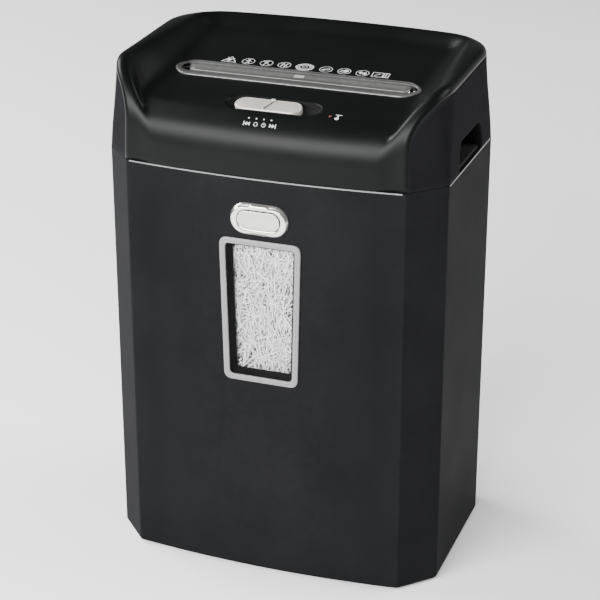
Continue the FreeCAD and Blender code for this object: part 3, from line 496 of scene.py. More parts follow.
def rimStations():
    # the crease as (distance, height, roll, outward slope on the wall), front foot to rear middle
    start, reach = head["rollFront"], head["creaseReach"]
    foot = splitZ + head["gap"]
    rise = crestHeight(start + reach) - head["rollTop"] - head["creaseStart"]
    rims = []
    for i in range(counts["upright"]):
        z = mix(foot, head["creaseStart"], i / counts["upright"])
        rims.append((start, z, head["rollFront"], (-1.0, 0.0)))
    for i in range(counts["curve"]):
        turn = math.pi / 2 * i / counts["curve"]
        roll = mix(head["rollFront"], head["rollTop"], smooth(i / counts["curve"]))
        away = Vector((-math.cos(turn) / reach, math.sin(turn) / rise)).normalized()
        z = head["creaseStart"] + rise * math.sin(turn)
        rims.append((start + reach * (1 - math.cos(turn)), z, roll, away))
    first = start + reach
    last = 1.5 * chamferLength + sideLength
    for i in range(counts["side"] + 1):
        distance = mix(first, last, i / counts["side"])
        rims.append((distance, creaseHeight(distance), head["rollTop"], (0.0, 1.0)))
    return rims


counts = {"upright": 6, "curve": 22, "side": 34, "roll": 7}


def rollPoints(distance, z, roll, away, frontShare):
    # the three points of one rolled edge: on the top, the sharp corner, on the wall
    low = wallPoint(distance, z)
    sharpAt = (max(0.0, distance + roll * away[0]), z + roll * away[1])
    sharp = wallPoint(*sharpAt)
    side = inward(*sharpAt)
    level = Vector((-1.0, -0.05, 0.0)).lerp(side, frontShare).normalized()
    return sharp + level * roll, sharp, low


def fieldHeight(y):
    return head["fieldZ"] + head["fieldSlope"] * (y - head["fieldY"])


def coverMiddle(row):
    # the cover's profile on its middle line, up the front and back over the top
    upright, curve, side = counts["upright"], counts["curve"], counts["side"]
    deep, tall = head["frontDepth"], head["frontRise"]
    endTurn = math.atan2(tall, deep * head["fieldSlope"])
    topY = -head["halfDepth"] + deep * (1 - math.cos(endTurn))
    turnZ = fieldHeight(topY) - tall * math.sin(endTurn)
    if row < upright:
        return Vector((0, -head["halfDepth"], mix(splitZ + head["gap"], turnZ, row / upright)))
    if row < upright + curve:
        turn = endTurn * (row - upright) / curve
        return Vector((0, -head["halfDepth"] + deep * (1 - math.cos(turn)), turnZ + tall * math.sin(turn)))
    share = (row - upright - curve) / side
    return Vector((0, mix(topY, rearRim(0.0)[0].y, share), 0))


def rearRim(across):
    # the rolled rear edge at a share of the way from the middle to mid-chamfer
    last = 1.5 * chamferLength + sideLength
    distance = mix(wallLength, last, across)
    return rollPoints(distance, creaseHeight(distance), head["rollTop"], (0.0, 1.0), 1.0)


def coverPoint(rims, row, across):
    # a point of the cover inside its rolled edge: row up and over, across from -1 to 1
    share = abs(across)
    side = -1.0 if across < 0 else 1.0
    edge = rims[row][0]
    middle = coverMiddle(row)
    front = counts["upright"] + counts["curve"]
    back = max(0.0, (row - front) / counts["side"])
    turned = smooth((row - counts["upright"]) / counts["curve"])
    x = share * edge.x
    bow = bowRise * (x / head["cornerX"])**2
    start = mix(head["cheekFront"], head["cheekBack"], smooth(back / 0.3))
    cheek = smooth((share - start) / (1 - start))
    y = mix(middle.y + bow, edge.y, cheek)
    if row < front:
        return Vector((side * x, y, mix(middle.z + head["fieldSlope"] * bow * turned, edge.z, cheek)))
    rearHere = rearRim(share)[0]
    rearMiddle = rearRim(0.0)[0]
    rearEdge = rearRim(1.0)[0]
    rearShape = (rearHere.y - rearMiddle.y) / (rearEdge.y - rearMiddle.y)
    y = mix(y, mix(middle.y, edge.y, rearShape), smooth(back))
    x = mix(x, rearHere.x, smooth(back))
    rearRise = smooth((y - (rearHere.y - 17)) / 17)
    rim = mix(edge.z, rearHere.z, rearRise)
    lift = 1 - (1 - cheek) * (1 - rearRise)
    return Vector((side * x, y, mix(fieldHeight(y), rim, lift)))


def acrossShares():
    # column places from -1 to 1, closer together over the cheeks
    half = [0.0, 0.12, 0.24, 0.36, 0.48, 0.58, 0.66, 0.72, 0.76, 0.79, 0.82, 0.845, 0.87, 0.89, 0.91, 0.93,
            0.95, 0.966, 0.982, 1.0]
    return [-v for v in reversed(half[1:])] + half


def buildCover():
    # the gloss skin, front foot to rear rim, with its edge rolled over the wall
    rims = [rollPoints(d, z, roll, away, smooth((i - counts["upright"]) / counts["curve"]))
            for i, (d, z, roll, away) in enumerate(rimStations())]
    shares = acrossShares()
    columns, rows = len(shares), len(rims)
    bm = bmesh.new()
    bmesh.ops.create_grid(bm, x_segments=columns - 1, y_segments=rows - 1, size=1.0)
    bm.verts.ensure_lookup_table()
    rimOf = {}
    for vert in bm.verts:
        column = round((vert.co.x + 1) / 2 * (columns - 1))
        row = round((vert.co.y + 1) / 2 * (rows - 1))
        across = shares[column]
        vert.co = coverPoint(rims, row, across)
        mirror = Vector((-1 if across < 0 else 1, 1, 1))
        if row == rows - 1:
            rimOf[vert] = [p * mirror for p in rearRim(abs(across))]
        elif abs(across) == 1:
            rimOf[vert] = [p * mirror for p in rims[row]]
    # roll the edge over in a few steps, down to the crease
    for step in range(1, counts["roll"] + 1):
        t = step / counts["roll"]
        chain = [e for e in bm.edges if e.is_boundary and all(v in rimOf for v in e.verts)]
        grown = bmesh.ops.extrude_edge_only(bm, edges=chain)
        fresh = [v for v in grown["geom"] if isinstance(v, bmesh.types.BMVert)]
        nextRim = {}
        for vert in fresh:
            origin = [e.other_vert(vert) for e in vert.link_edges if e.other_vert(vert) in rimOf][0]
            top, sharp, low = rimOf[origin]
            vert.co = top * (1 - t)**2 + sharp * 2 * t * (1 - t) + low * t * t
            nextRim[vert] = (top, sharp, low)
        rimOf = nextRim
    faced(bm)
    highest = max(bm.faces, key=lambda f: f.calc_center_median().z)
    if highest.normal.z < 0:
        bmesh.ops.reverse_faces(bm, faces=bm.faces)
    return bm


def wallStations():
    # places along the matt wall, closer together where it turns
    start = head["rollFront"] + 0.25
    reach = head["creaseReach"] - 0.25
    places = [start + reach * (1 - math.cos(math.pi / 2 * i / 18)) for i in range(18)]
    last = wallLength
    first = head["rollFront"] + head["creaseReach"]
    places += [mix(first, last, i / 96) for i in range(97)]
    return places


def buildWall():
    # the grained wall under the crease, right half
    places = wallStations()
    rows = 22
    bm = bmesh.new()
    bmesh.ops.create_grid(bm, x_segments=len(places) - 1, y_segments=rows, size=1.0)
    for vert in bm.verts:
        column = round((vert.co.x + 1) / 2 * (len(places) - 1))
        row = (vert.co.y + 1) / 2
        distance = places[column]
        low = splitZ + head["gap"]
        high = creaseHeight(distance) - 0.25
        vert.co = wallPoint(distance, mix(low, high, row))
    return bm


# outlines, openings and lofted rings

def roundedOutline(corners, radius, steps=5):
    # a closed outline with each corner eased off by a short curve
    points = []
    count = len(corners)
    for i, corner in enumerate(corners):
        here = Vector(corner)
        back = (Vector(corners[i - 1]) - here)
        ahead = (Vector(corners[(i + 1) % count]) - here)
        first = here + back.normalized() * min(radius, back.length * 0.48)
        last = here + ahead.normalized() * min(radius, ahead.length * 0.48)
        for k in range(steps + 1):
            t = k / steps
            points.append(first * (1 - t)**2 + here * 2 * t * (1 - t) + last * t * t)
    return points


def grownCorners(corners, amount):
    # a convex counter-clockwise outline moved outwards by amount
    count = len(corners)
    grown = []
    for i in range(count):
        here = Vector(corners[i])
        first = (here - Vector(corners[i - 1])).normalized()
        second = (Vector(corners[(i + 1) % count]) - here).normalized()
        bisector = Vector((first.y + second.y, -first.x - second.x))
        bisector.normalize()
        share = max(0.3, bisector.dot(Vector((first.y, -first.x))))
        grown.append(here + bisector * amount / share)
    return grown


def stadiumOutline(length, width, steps=10, x=0.0):
    # counter-clockwise points of a slab with round ends
    radius = width / 2
    half = length / 2 - radius
    points = []
    for side in (1, -1):
        for i in range(steps + 1):
            turn = math.pi * (i / steps - 0.5)
            along = x + side * (half + radius * math.cos(turn))
            points.append(Vector((along, side * radius * math.sin(turn))))
    return points


def cutOpening(bm, outline, axes, near):
    # cut a convex counter-clockwise outline through the faces that near() accepts
    inside = [f for f in bm.faces if near(f.calc_center_median())]
    for i, start in enumerate(outline):
        end = outline[(i + 1) % len(outline)]
        point, normal = Vector(), Vector()
        point[axes[0]], point[axes[1]] = start[0], start[1]
        normal[axes[0]], normal[axes[1]] = end[1] - start[1], start[0] - end[0]
        edges = list({e for f in inside for e in f.edges})
        verts = list({v for f in inside for v in f.verts})
        cut = bmesh.ops.bisect_plane(bm, geom=inside + edges + verts, dist=1e-4, plane_co=point,
                                     plane_no=normal)
        faces = [g for g in cut["geom"] if isinstance(g, bmesh.types.BMFace)]
        inside = [f for f in faces if (f.calc_center_median() - point).dot(normal) < 0]
    bmesh.ops.delete(bm, geom=inside, context="FACES")


def loftRings(bm, rings, closed=True, cap=False, material=0):
    # skin rings that have the same number of points; cap closes the last one
    rows = [[bm.verts.new(point) for point in ring] for ring in rings]
    for low, high in zip(rows, rows[1:]):
        count = len(low)
        for i in range(count if closed else count - 1):
            j = (i + 1) % count
            face = bm.faces.new((low[i], low[j], high[j], high[i]))
            face.material_index = material
    if cap:
        face = bm.faces.new(rows[-1])
        face.material_index = material
    return rows


def capWithGrid(bm, row, steps, lift):
    # close a ring with shrinking rings that rise by lift towards the middle
    centre = sum((v.co for v in row), Vector()) / len(row)
    rings = []
    for k in range(1, steps + 1):
        share = 1 - k / (steps + 1)
        rings.append([centre.lerp(v.co, share) + lift * (1 - share * share) for v in row])
    lofted = [row] + [[bm.verts.new(p) for p in ring] for ring in rings]
    for low, high in zip(lofted, lofted[1:]):
        for i in range(len(low)):
            j = (i + 1) % len(low)
            bm.faces.new((low[i], low[j], high[j], high[i]))
    bm.faces.new(lofted[-1])


# the sloping frames that the slot and the switch are drawn in

slotY = -17.0
fieldTilt = math.atan(head["fieldSlope"])


def onField(x, v, w):
    # slot coordinates to the head: x across, v up the slope, w out of it
    base = Vector((x, slotY, fieldHeight(slotY)))
    return base + Vector((0, v * math.cos(fieldTilt) - w * math.sin(fieldTilt),
                          v * math.sin(fieldTilt) + w * math.cos(fieldTilt)))


switchY = -77.0
switchZ = 467.4
switchTilt = math.radians(12.5)


def onSwitch(x, v, w):
    base = Vector((x, switchY, switchZ))
    return base + Vector((0, v * math.cos(switchTilt) - w * math.sin(switchTilt),
                          v * math.sin(switchTilt) + w * math.cos(switchTilt)))


# head skin

slotHole = {"halfLength": 119.0, "front": -13.0, "back": 14.6}
switchHole = {"length": 93.0, "width": 27.8}
vent = {"first": 30.0, "last": 90.0, "pitch": 6.0, "width": 3.0, "low": 424.0, "high": 444.0}
recess = {"half": 40.0, "topHalf": 33.0, "shoulderZ": 428.0, "topZ": 440.4, "backX": 146.0}


def recessCorners(grow):
    low, high = splitZ - 2, recess["topZ"] + grow
    half, topHalf = recess["half"] + grow, recess["topHalf"] + grow * 0.6
    return [(-half, low), (half, low), (half, recess["shoulderZ"]), (topHalf, high), (-topHalf, high),
            (-half, recess["shoulderZ"])]


def recessArch(grow):
    # the recess outline from the front foot over the top to the rear foot
    corners = recessCorners(grow)
    outline = roundedOutline(corners, 7.0, 6)
    arch = [p for p in outline if p.y > splitZ]
    start = max(range(len(arch)), key=lambda i: (arch[i] - arch[i - 1]).length)
    arch = arch[start:] + arch[:start]
    foot = splitZ + head["gap"]
    if arch[0].x < arch[-1].x:
        arch.reverse()
    return [Vector((corners[2][0], foot))] + arch + [Vector((corners[5][0], foot))]


def buildSkin():
    bm = buildCover()
    onTop = [onField(x, v, 0) for x, v in ((0, slotHole["front"]), (0, slotHole["back"]))]
    half = slotHole["halfLength"]
    hexagon = [(-half, slotY + 2), (-108, onTop[0].y), (108, onTop[0].y), (half, slotY + 2),
               (108, onTop[1].y), (-108, onTop[1].y)]
    cutOpening(bm, hexagon, (0, 1), lambda c: abs(c.x) < 130 and -50 < c.y < 15 and c.z > 455)
    outline = [(p.x, switchY + p.y * math.cos(switchTilt))
               for p in stadiumOutline(switchHole["length"], switchHole["width"])]
    cutOpening(bm, outline, (0, 1), lambda c: abs(c.x) < 60 and -100 < c.y < -55 and c.z > 455)
    return bm


def buildHousing():
    bm = buildWall()
    bmesh.ops.mirror(bm, geom=bm.verts[:] + bm.edges[:] + bm.faces[:], axis="X", merge_dist=0.01)
    bmesh.ops.remove_doubles(bm, verts=bm.verts, dist=1e-4)
    faced(bm)
    outline = [tuple(p) for p in roundedOutline(recessCorners(0.0), 7.0, 6)]
    for side in (1, -1):
        cutOpening(bm, outline, (1, 2), lambda c, side=side: c.x * side > 140 and abs(c.y) < 60)
    slots = int((vent["last"] - vent["first"]) / vent["pitch"]) + 1
    for k in range(slots):
        x = vent["first"] + k * vent["pitch"]
        upright = stadiumOutline(vent["high"] - vent["low"], vent["width"], 5)
        middle = (vent["low"] + vent["high"]) / 2
        points = [(x - p.y, middle + p.x) for p in upright]
        cutOpening(bm, points, (0, 2), lambda c, x=x: abs(c.x - x) < 6 and c.y > 95)
    return bm


def buildPocket(side):
    # the lining of one finger recess, rolled over at the lip
    bm = bmesh.new()
    rings = []
    for grow, depth in ((0.3, 0.5), (0.05, 0.05), (-0.3, 0.0), (-0.8, 0.3), (-1.1, 1.0), (-1.2, 2.4)):
        ring = []
        for p in recessArch(grow):
            wallX = wallPoint(chamferLength + head["sideHalf"], p.y).x
            ring.append(Vector((side * (wallX - depth), p.x, p.y)))
        rings.append(ring)
    deep = [Vector((side * (recess["backX"] + 1.5), p.x, p.y)) for p in recessArch(-1.6)]
    back = [Vector((side * recess["backX"], p.x, p.y)) for p in recessArch(-3.2)]
    rows = loftRings(bm, rings + [deep, back], closed=False, cap=True)
    faced(bm)
    face = max(bm.faces, key=lambda f: f.calc_area())
    if face.normal.x * side < 0:
        bmesh.ops.reverse_faces(bm, faces=bm.faces)
    return bm


cover = makePiece(buildSkin(), "topCoverSkin", materials["coverGloss"], "head", ["top_cover"])
addModifier(cover, "SOLIDIFY", thickness=head["wall"] * mm, offset=-1.0)
wall = makePiece(buildHousing(), "housingWall", materials["housingPlastic"], "head", ["head_housing"])
addModifier(wall, "SOLIDIFY", thickness=head["wall"] * mm, offset=-1.0)
for side, label in ((1, "Right"), (-1, "Left")):
    makePiece(buildPocket(side), "fingerRecess" + label, materials["innerBlack"], "head", None,
              angle=50)
print("scene stage: head skin")


# slot frame and paper guides

bezel = {"tip": 124.5, "corner": 111.0, "front": -16.5, "back": 16.5, "holeTip": 119.0, "holeCorner": 111.5,
         "holeFront": -7.2, "holeBack": 12.2}


def hexagonCorners(tip, corner, front, back):
    middle = (front + back) / 2
    return [(-tip, middle), (-corner, front), (corner, front), (tip, middle), (corner, back),
            (-corner, back)]


def buildBezel():
    bm = bmesh.new()
    outer = hexagonCorners(bezel["tip"], bezel["corner"], bezel["front"], bezel["back"])
    inner = hexagonCorners(bezel["holeTip"], bezel["holeCorner"], bezel["holeFront"], bezel["holeBack"])
    rings = []
    for corners, grow, w in ((outer, 0.0, -1.6), (outer, 0.0, 0.5), (outer, -0.25, 0.95), (outer, -0.8, 1.3),
                             (outer, -1.6, 1.45), (inner, 1.6, 0.95), (inner, 0.6, 0.7), (inner, 0.15, 0.35),
                             (inner, 0.0, -0.2), (inner, 0.0, -5.0)):
        outline = roundedOutline(grownCorners(corners, grow), 9.0 + grow * 0.5, 8)
        rings.append([onField(p.x, p.y, w) for p in outline])
    loftRings(bm, rings)
    return faced(bm)


guides = {"half": 110.5, "slant": 4.5, "backV": 12.4, "lipV": 0.6, "dropW": -1.9, "endW": -27.0,
          "thick": 1.2, "roll": 1.2}


def buildRearGuide():
    # the sloping plate behind the throat, rolled over into the throat's rear wall
    profile = [(guides["backV"], -0.9), (guides["lipV"] + 2.4, guides["dropW"] + 0.25)]
    for k in range(6):
        turn = math.pi / 2 * k / 5
        profile.append((guides["lipV"] + guides["roll"] * (1 - math.sin(turn)),
                        guides["dropW"] - guides["roll"] * (1 - math.cos(turn)) + 0.2))
    profile.append((guides["lipV"] + 1.6, guides["endW"]))
    bm = bmesh.new()
    stations = 40
    for k in range(stations):
        share = k / (stations - 1) * 2 - 1
        for v, w in profile:
            rise = (v - guides["lipV"]) / (guides["backV"] - guides["lipV"])
            slant = guides["slant"] * (1 - rise) if w > -4 else 0
            bm.verts.new(onField(share * (guides["half"] - slant * 0.5), v, w))
    bm.verts.ensure_lookup_table()
    n = len(profile)
    for k in range(stations - 1):
        for i in range(n - 1):
            a = k * n + i
            bm.faces.new([bm.verts[j] for j in (a, a + n, a + n + 1, a + 1)])
    faced(bm)
    if max(bm.faces, key=lambda f: f.calc_center_median().z).normal.z < 0:
        bmesh.ops.reverse_faces(bm, faces=bm.faces)
    return bm


makePiece(buildBezel(), "slotFrame", materials["bezelGrey"], "head", ["slot_bezel"], angle=25)
rearPlate = makePiece(buildRearGuide(), "rearPaperGuide", materials["guideGrey"], "head", ["rear_guide"])
addModifier(rearPlate, "SOLIDIFY", thickness=guides["thick"] * mm, offset=-1.0)
print("scene stage: slot")


# mode switch

knob = {"length": 64.6, "width": 20.0, "x": -4.9, "top": 2.4, "ridgeHeight": 1.3}


def buildTray():
    bm = bmesh.new()
    rings = []
    for grow, w in ((0.6, -6.0), (0.6, -0.3), (0.45, 0.05), (0.1, 0.2), (-0.5, 0.15), (-0.9, -0.3),
                    (-1.1, -1.2), (-1.6, -3.4), (-2.4, -4.0)):
        outline = stadiumOutline(switchHole["length"] + 2 * grow, switchHole["width"] + 2 * grow, 14)
        rings.append([onSwitch(p.x, p.y, w) for p in outline])
    loftRings(bm, rings, cap=True)
    return faced(bm)


def addBar(bm, start, end, width, low, high, place):
    # one bar with round ends between two points, its top edge softened
    start, end = Vector(start), Vector(end)
    run = end - start
    length = run.length + width
    middle = (start + end) / 2
    turn = math.atan2(run.y, run.x)
    rings = []
    for grow, w in ((0.0, low), (0.0, high - 0.35), (-0.12, high - 0.1), (-0.35, high)):
        points = []
        for p in stadiumOutline(length + 2 * grow, width + 2 * grow, 6):
            x = middle.x + p.x * math.cos(turn) - p.y * math.sin(turn)
            v = middle.y + p.x * math.sin(turn) + p.y * math.cos(turn)
            points.append(place(x, v, w))
        rings.append(points)
    loftRings(bm, rings, cap=True)


def buildKnob():
    bm = bmesh.new()
    rings = []
    for grow, w in ((0.0, -3.6), (0.0, 0.9), (-0.15, 1.5), (-0.6, 2.0), (-1.3, 2.25), (-2.3, 2.3),
                    (-2.6, 2.12), (-2.9, 2.12), (-3.2, 2.3)):
        outline = stadiumOutline(knob["length"] + 2 * grow, knob["width"] + 2 * grow, 14, knob["x"])
        rings.append([onSwitch(p.x, p.y, w) for p in outline])
    rows = loftRings(bm, rings)
    up = onSwitch(0, 0, 1) - onSwitch(0, 0, 0)
    capWithGrid(bm, rows[-1], 4, up * 0.1)
    x = knob["x"]
    top = knob["top"] + knob["ridgeHeight"]
    addBar(bm, (x - 3.0, -7.4), (x + 2.4, 7.4), 1.7, 1.5, top, onSwitch)
    addBar(bm, (x + 1.6, 7.4), (x + 3.4, 7.4), 2.6, 1.5, top + 0.2, onSwitch)
    silver = len(bm.faces)
    for shift in (-1.75, 1.75):
        addBar(bm, (x - 3.0 + shift, -7.4), (x + 2.4 + shift, 7.0), 1.3, 1.5, 2.55, onSwitch)
    for face in list(bm.faces)[silver:]:
        face.material_index = 1
    return faced(bm)


makePiece(buildTray(), "switchRecess", materials["innerBlack"], "head", ["switch_tray"],
          angle=50)
knobPiece = makePiece(buildKnob(), "modeKnob", materials["knobSilver"], "mode_knob", ["mode_knob"],
                      angle=50)
knobPiece.data.materials.append(materials["innerBlack"])
print("scene stage: switch")


# latch

latch = {"z": 371.7, "length": 57.0, "height": 31.0, "padLength": 41.0, "padHeight": 17.0, "frontY": -119.2,
         "baseY": -114.2, "tabHalf": 8.0}


def latchOutline(length, height, y, bump=0.0, notch=0.0, drop=0.0):
    radius = height / 2
    half = length / 2 - radius
    points = []
    for side in (1, -1):
        for i in range(15):
            turn = math.pi * (i / 14 - 0.5)
            points.append((side * (half + radius * math.cos(turn)), side * radius * math.sin(turn)))
        for i in range(1, 24):
            points.append((side * half * (1 - 2 * i / 24), side * radius))
    ring = []
    for x, z in points:
        near = smooth((latch["tabHalf"] + 2.0 - abs(x)) / 3.0)
        lift = near * (bump if z > 0 else notch)
        ring.append(Vector((x, y, latch["z"] + z + lift - drop)))
    return ring


def buildSurround():
    bm = bmesh.new()
    length, height = latch["length"], latch["height"]
    opening = (latch["padLength"] + 1.0, latch["padHeight"] + 1.0)
    rings = [
        latchOutline(length, height, latch["baseY"]),
        latchOutline(length, height, -115.7),
        latchOutline(length - 0.5, height - 0.5, -116.2),
        latchOutline(length - 1.8, height - 3.0, -117.2, 1.0, 0.4, 0.5),
        latchOutline(length - 2.6, height - 5.0, -118.0, 1.8, 1.0, 0.8),
        latchOutline(length - 3.6, height - 6.2, -118.6, 1.9, 1.1, 0.8),
        latchOutline(length - 5.0, height - 7.6, -118.8, 1.2, 0.8, 0.6),
        latchOutline(opening[0] + 2.2, opening[1] + 2.0, -118.5),
        latchOutline(opening[0] + 0.5, opening[1] + 0.5, -118.1),
        latchOutline(opening[0], opening[1], -117.4),
        latchOutline(opening[0], opening[1], -114.9),
        latchOutline(opening[0] - 8.0, opening[1] - 3.4, -114.9),
    ]
    loftRings(bm, rings)
    return faced(bm)


def buildPad():
    bm = bmesh.new()
    length, height = latch["padLength"], latch["padHeight"]
    core = (32.6, 13.6)
    front = latch["frontY"]
    rings = [
        latchOutline(core[0], core[1], -115.7),
        latchOutline(core[0], core[1], front + 0.38),
        latchOutline(length, height, front + 0.38),
        latchOutline(length, height, front + 0.26),
        latchOutline(length - 0.7, height - 0.7, front + 0.1),
        latchOutline(length - 2.2, height - 2.2, front),
        latchOutline(length - 3.4, height - 3.4, front + 0.08),
        latchOutline(length - 5.0, height - 5.0, front + 0.2),
    ]
    rows = loftRings(bm, rings)
    capWithGrid(bm, rows[-1], 3, Vector((0, 0.15, 0)))
    return faced(bm)


makePiece(buildSurround(), "latchSurround", materials["latchChrome"], "bin", ["latch_surround"],
          angle=50)
makePiece(buildPad(), "latchPad", materials["latchSilver"], "latch_button", ["latch_button"],
          angle=50)
print("scene stage: latch")


# window

window = {"low": 206.6, "high": 350.8, "halfLow": 36.8, "halfHigh": 40.0}


def windowCorners(grow):
    low, high = window["low"] - grow, window["high"] + grow
    halfLow, halfHigh = window["halfLow"] + grow, window["halfHigh"] + grow
    return [(-halfLow, low), (halfLow, low), (halfHigh, high), (-halfHigh, high)]


def windowRing(grow, y, radius=6.0):
    return [Vector((p.x, y, p.y)) for p in roundedOutline(windowCorners(grow), max(2.0, radius), 6)]


def buildWindowFrame():
    # silver ring in front, black funnel behind it
    bm = bmesh.new()
    silver = [windowRing(0, -113.6, 8.0), windowRing(0, -115.9, 8.0), windowRing(-0.3, -116.25, 7.8),
              windowRing(-0.9, -116.4, 7.4), windowRing(-2.8, -116.4, 6.2), windowRing(-4.9, -116.35, 4.9),
              windowRing(-5.3, -116.15, 4.6), windowRing(-5.5, -115.7, 4.5), windowRing(-5.6, -114.8, 4.5)]
    loftRings(bm, silver, material=0)
    black = [windowRing(-5.6, -114.8, 4.5), windowRing(-5.9, -113.6, 4.4), windowRing(-9.6, -107.3, 3.4),
             windowRing(-9.9, -107.05, 3.2), windowRing(-7.4, -107.04, 3.2)]
    loftRings(bm, black, material=1)
    return faced(bm)


windowPiece = makePiece(buildWindowFrame(), "windowFrame", materials["windowGrey"], "bin", ["window_frame"],
                        angle=50)
windowPiece.data.materials.append(materials["innerBlack"])
print("scene stage: window")


# shredded paper

slantX, slantY = 0.726, 0.688    # the corner walls' outward direction
paper = {"windowStrips": 1150, "topStrips": 2600, "seed": 41, "moundHigh": 352.0, "moundLow": 338.0}
rng = random.Random(paper["seed"])


def addStrip(bm, tone, middle, heading, tilt, length, width, curl, roll, steps=7):
    # one curled ribbon: it bends by curl along its length and rolls about its own line
    along = Vector((math.cos(heading) * math.cos(tilt), math.sin(tilt), math.sin(heading) * math.cos(tilt)))
    up = Vector((0, -1, 0)) if abs(along.y) < 0.9 else Vector((1, 0, 0))
    side = along.cross(up).normalized()
    face = side.cross(along).normalized()
    place = Vector(middle) - along * length / 2
    value = rng.uniform(0.6, 1.0)
    previous = None
    for k in range(steps + 1):
        share = k / steps
        bend = curl * (share - 0.5)
        direction = along * math.cos(bend) + face * math.sin(bend)
        twist = roll * (share - 0.5) * 2
        across = (side * math.cos(twist) + face * math.sin(twist)) * width / 2
        pair = (bm.verts.new(place + across), bm.verts.new(place - across))
        for vert in pair:
            vert[tone] = value
        if previous:
            bm.faces.new((previous[0], previous[1], pair[1], pair[0]))
        previous = pair
        place = place + direction * length / steps


def buildWindowPaper():
    bm = bmesh.new()
    tone = bm.verts.layers.float.new("stripTone")
    for k in range(paper["windowStrips"]):
        depth = rng.random()
        z = rng.uniform(212, 346)
        x = rng.uniform(-34, 34)
        y = -104.0 + depth * 7.5
        heading = rng.gauss(math.pi / 2, 0.8)
        addStrip(bm, tone, (x, y, z), heading, rng.gauss(0, 0.12), rng.uniform(14, 34),
                 rng.uniform(0.7, 1.4), rng.gauss(0, 0.7), rng.gauss(0, 0.7))
    for vert in bm.verts:
        vert.co.y = min(-96.0, max(-104.4, vert.co.y))
        vert.co.x = min(37.5, max(-37.5, vert.co.x))
        vert.co.z = min(350.0, max(206.0, vert.co.z))
    return bm


def moundHeight(x, y):
    away = math.hypot(x / 158, y / 106)
    ripple = 2.5 * math.sin(x * 0.06 + 1.0) * math.cos(y * 0.075) + 1.6 * math.sin(x * 0.13 + y * 0.1)
    return mix(paper["moundHigh"], paper["moundLow"], smooth(away)) + ripple


def buildMound():
    # the body of the heap: a rippled top and straight sides down to the floor of the bin; it has no
    # stripTone, so the paper material paints it dark as shade behind the strips
    bm = bmesh.new()
    rings = []
    rounds, spokes = 14, 72
    for k in range(1, rounds + 1):
        share = k / rounds
        ring = []
        for i in range(spokes):
            turn = 2 * math.pi * i / spokes
            reach = min(158 / max(1e-6, abs(math.cos(turn))), 104 / max(1e-6, abs(math.sin(turn))),
                        163 / max(1e-6, abs(math.cos(turn)) * slantX + abs(math.sin(turn)) * slantY))
            x, y = reach * share * math.cos(turn), reach * share * math.sin(turn)
            if abs(x) < 44 and y < -94:
                y = -94
            ring.append(Vector((x, y, moundHeight(x, y))))
        rings.append(ring)
    for z in (300, 200, 100, 8):
        ring = []
        for p in rings[rounds - 1]:
            ring.append(Vector((p.x, p.y, z)))
        rings.append(ring)
    rows = loftRings(bm, rings, cap=True)
    bm.faces.new(rows[0])
    return faced(bm)


def buildTopPaper():
    bm = bmesh.new()
    tone = bm.verts.layers.float.new("stripTone")
    for k in range(paper["topStrips"]):
        x, y = rng.uniform(-148, 148), rng.uniform(-92, 98)
        if abs(x) * slantX + abs(y) * slantY > 150:
            continue
        height = moundHeight(x, y) + rng.uniform(0.4, 5.5)
        curlUp = rng.gauss(0, 0.9)
        addStrip(bm, tone, (0, 0, 0), rng.uniform(0, 2 * math.pi), rng.gauss(0, 0.15), rng.uniform(16, 38),
                 rng.uniform(1.6, 3.2), curlUp, rng.gauss(0, 0.6))
        bm.verts.ensure_lookup_table()
        for vert in bm.verts[-16:]:
            vert.co = Vector((x + vert.co.x, y + vert.co.z, height - vert.co.y))
    for vert in bm.verts:
        x, y = vert.co.x, max(-93.0, min(97.0, vert.co.y))
        over = max(0.0, abs(x) * slantX + abs(y) * slantY - 152)
        vert.co = Vector((x - math.copysign(over / slantX, x) if over else x, y, min(362.0, vert.co.z)))
    return bm


# the heap's body is painted dark as shade behind the strips
makePiece(buildMound(), "shredHeap", materials["paper"], "bin", ["paper_shreds"], angle=80)
makePiece(buildWindowPaper(), "windowShreds", materials["paper"], "bin", None, angle=80)
makePiece(buildTopPaper(), "heapShreds", materials["paper"], "bin", None, angle=80)
print("scene stage: paper")


# printed marks and the warning lamp

def linePath(points, width, closed=False):
    # a drawn line as a list of small quads, in print coordinates
    quads = []
    ends = list(zip(points, points[1:] + points[:1])) if closed else list(zip(points, points[1:]))
    for start, end in ends:
        run = Vector(end) - Vector(start)
        side = Vector((-run.y, run.x)).normalized() * width / 2
        reach = run.normalized() * width * 0.35
        first, last = Vector(start) - reach, Vector(end) + reach
        quads.append([first - side, last - side, last + side, first + side])
    return quads


def circlePath(x, y, radius, squash=1.0, start=0.0, end=360.0, steps=24):
    points = []
    for i in range(steps + 1):
        turn = math.radians(mix(start, end, i / steps))
        points.append((x + radius * math.cos(turn), y + radius * squash * math.sin(turn)))
    return points


def ringMark(x, y, radius, width, squash=1.0, start=0.0, end=360.0):
    return linePath(circlePath(x, y, radius, squash, start, end), width)


def discMark(x, y, radius, squash=1.0):
    # a filled round as a fan of quads, so it can follow a curved face
    rim = circlePath(x, y, radius, squash, steps=20)
    half = circlePath(x, y, radius * 0.5, squash, steps=20)
    quads = []
    for i in range(20):
        quads.append([half[i], rim[i], rim[i + 1], half[i + 1]])
        quads.append([(x, y), half[i], half[i + 1]])
    return quads


def layMarks(bm, marks, origin, across, up, look):
    # project print coordinates onto the cover's skin along the view direction look
    for mark in marks:
        verts = []
        for point in mark:
            flat = origin + across * point[0] + up * point[1]
            spot = coverTree.ray_cast(flat - look * 30, look, 60)[0]
            if spot is None:
                verts = []
                break
            verts.append(bm.verts.new(spot - look * 0.09))
        if len(verts) > 2:
            face = bm.faces.new(verts)
            face.normal_update()
            if face.normal.dot(look) > 0:
                face.normal_flip()


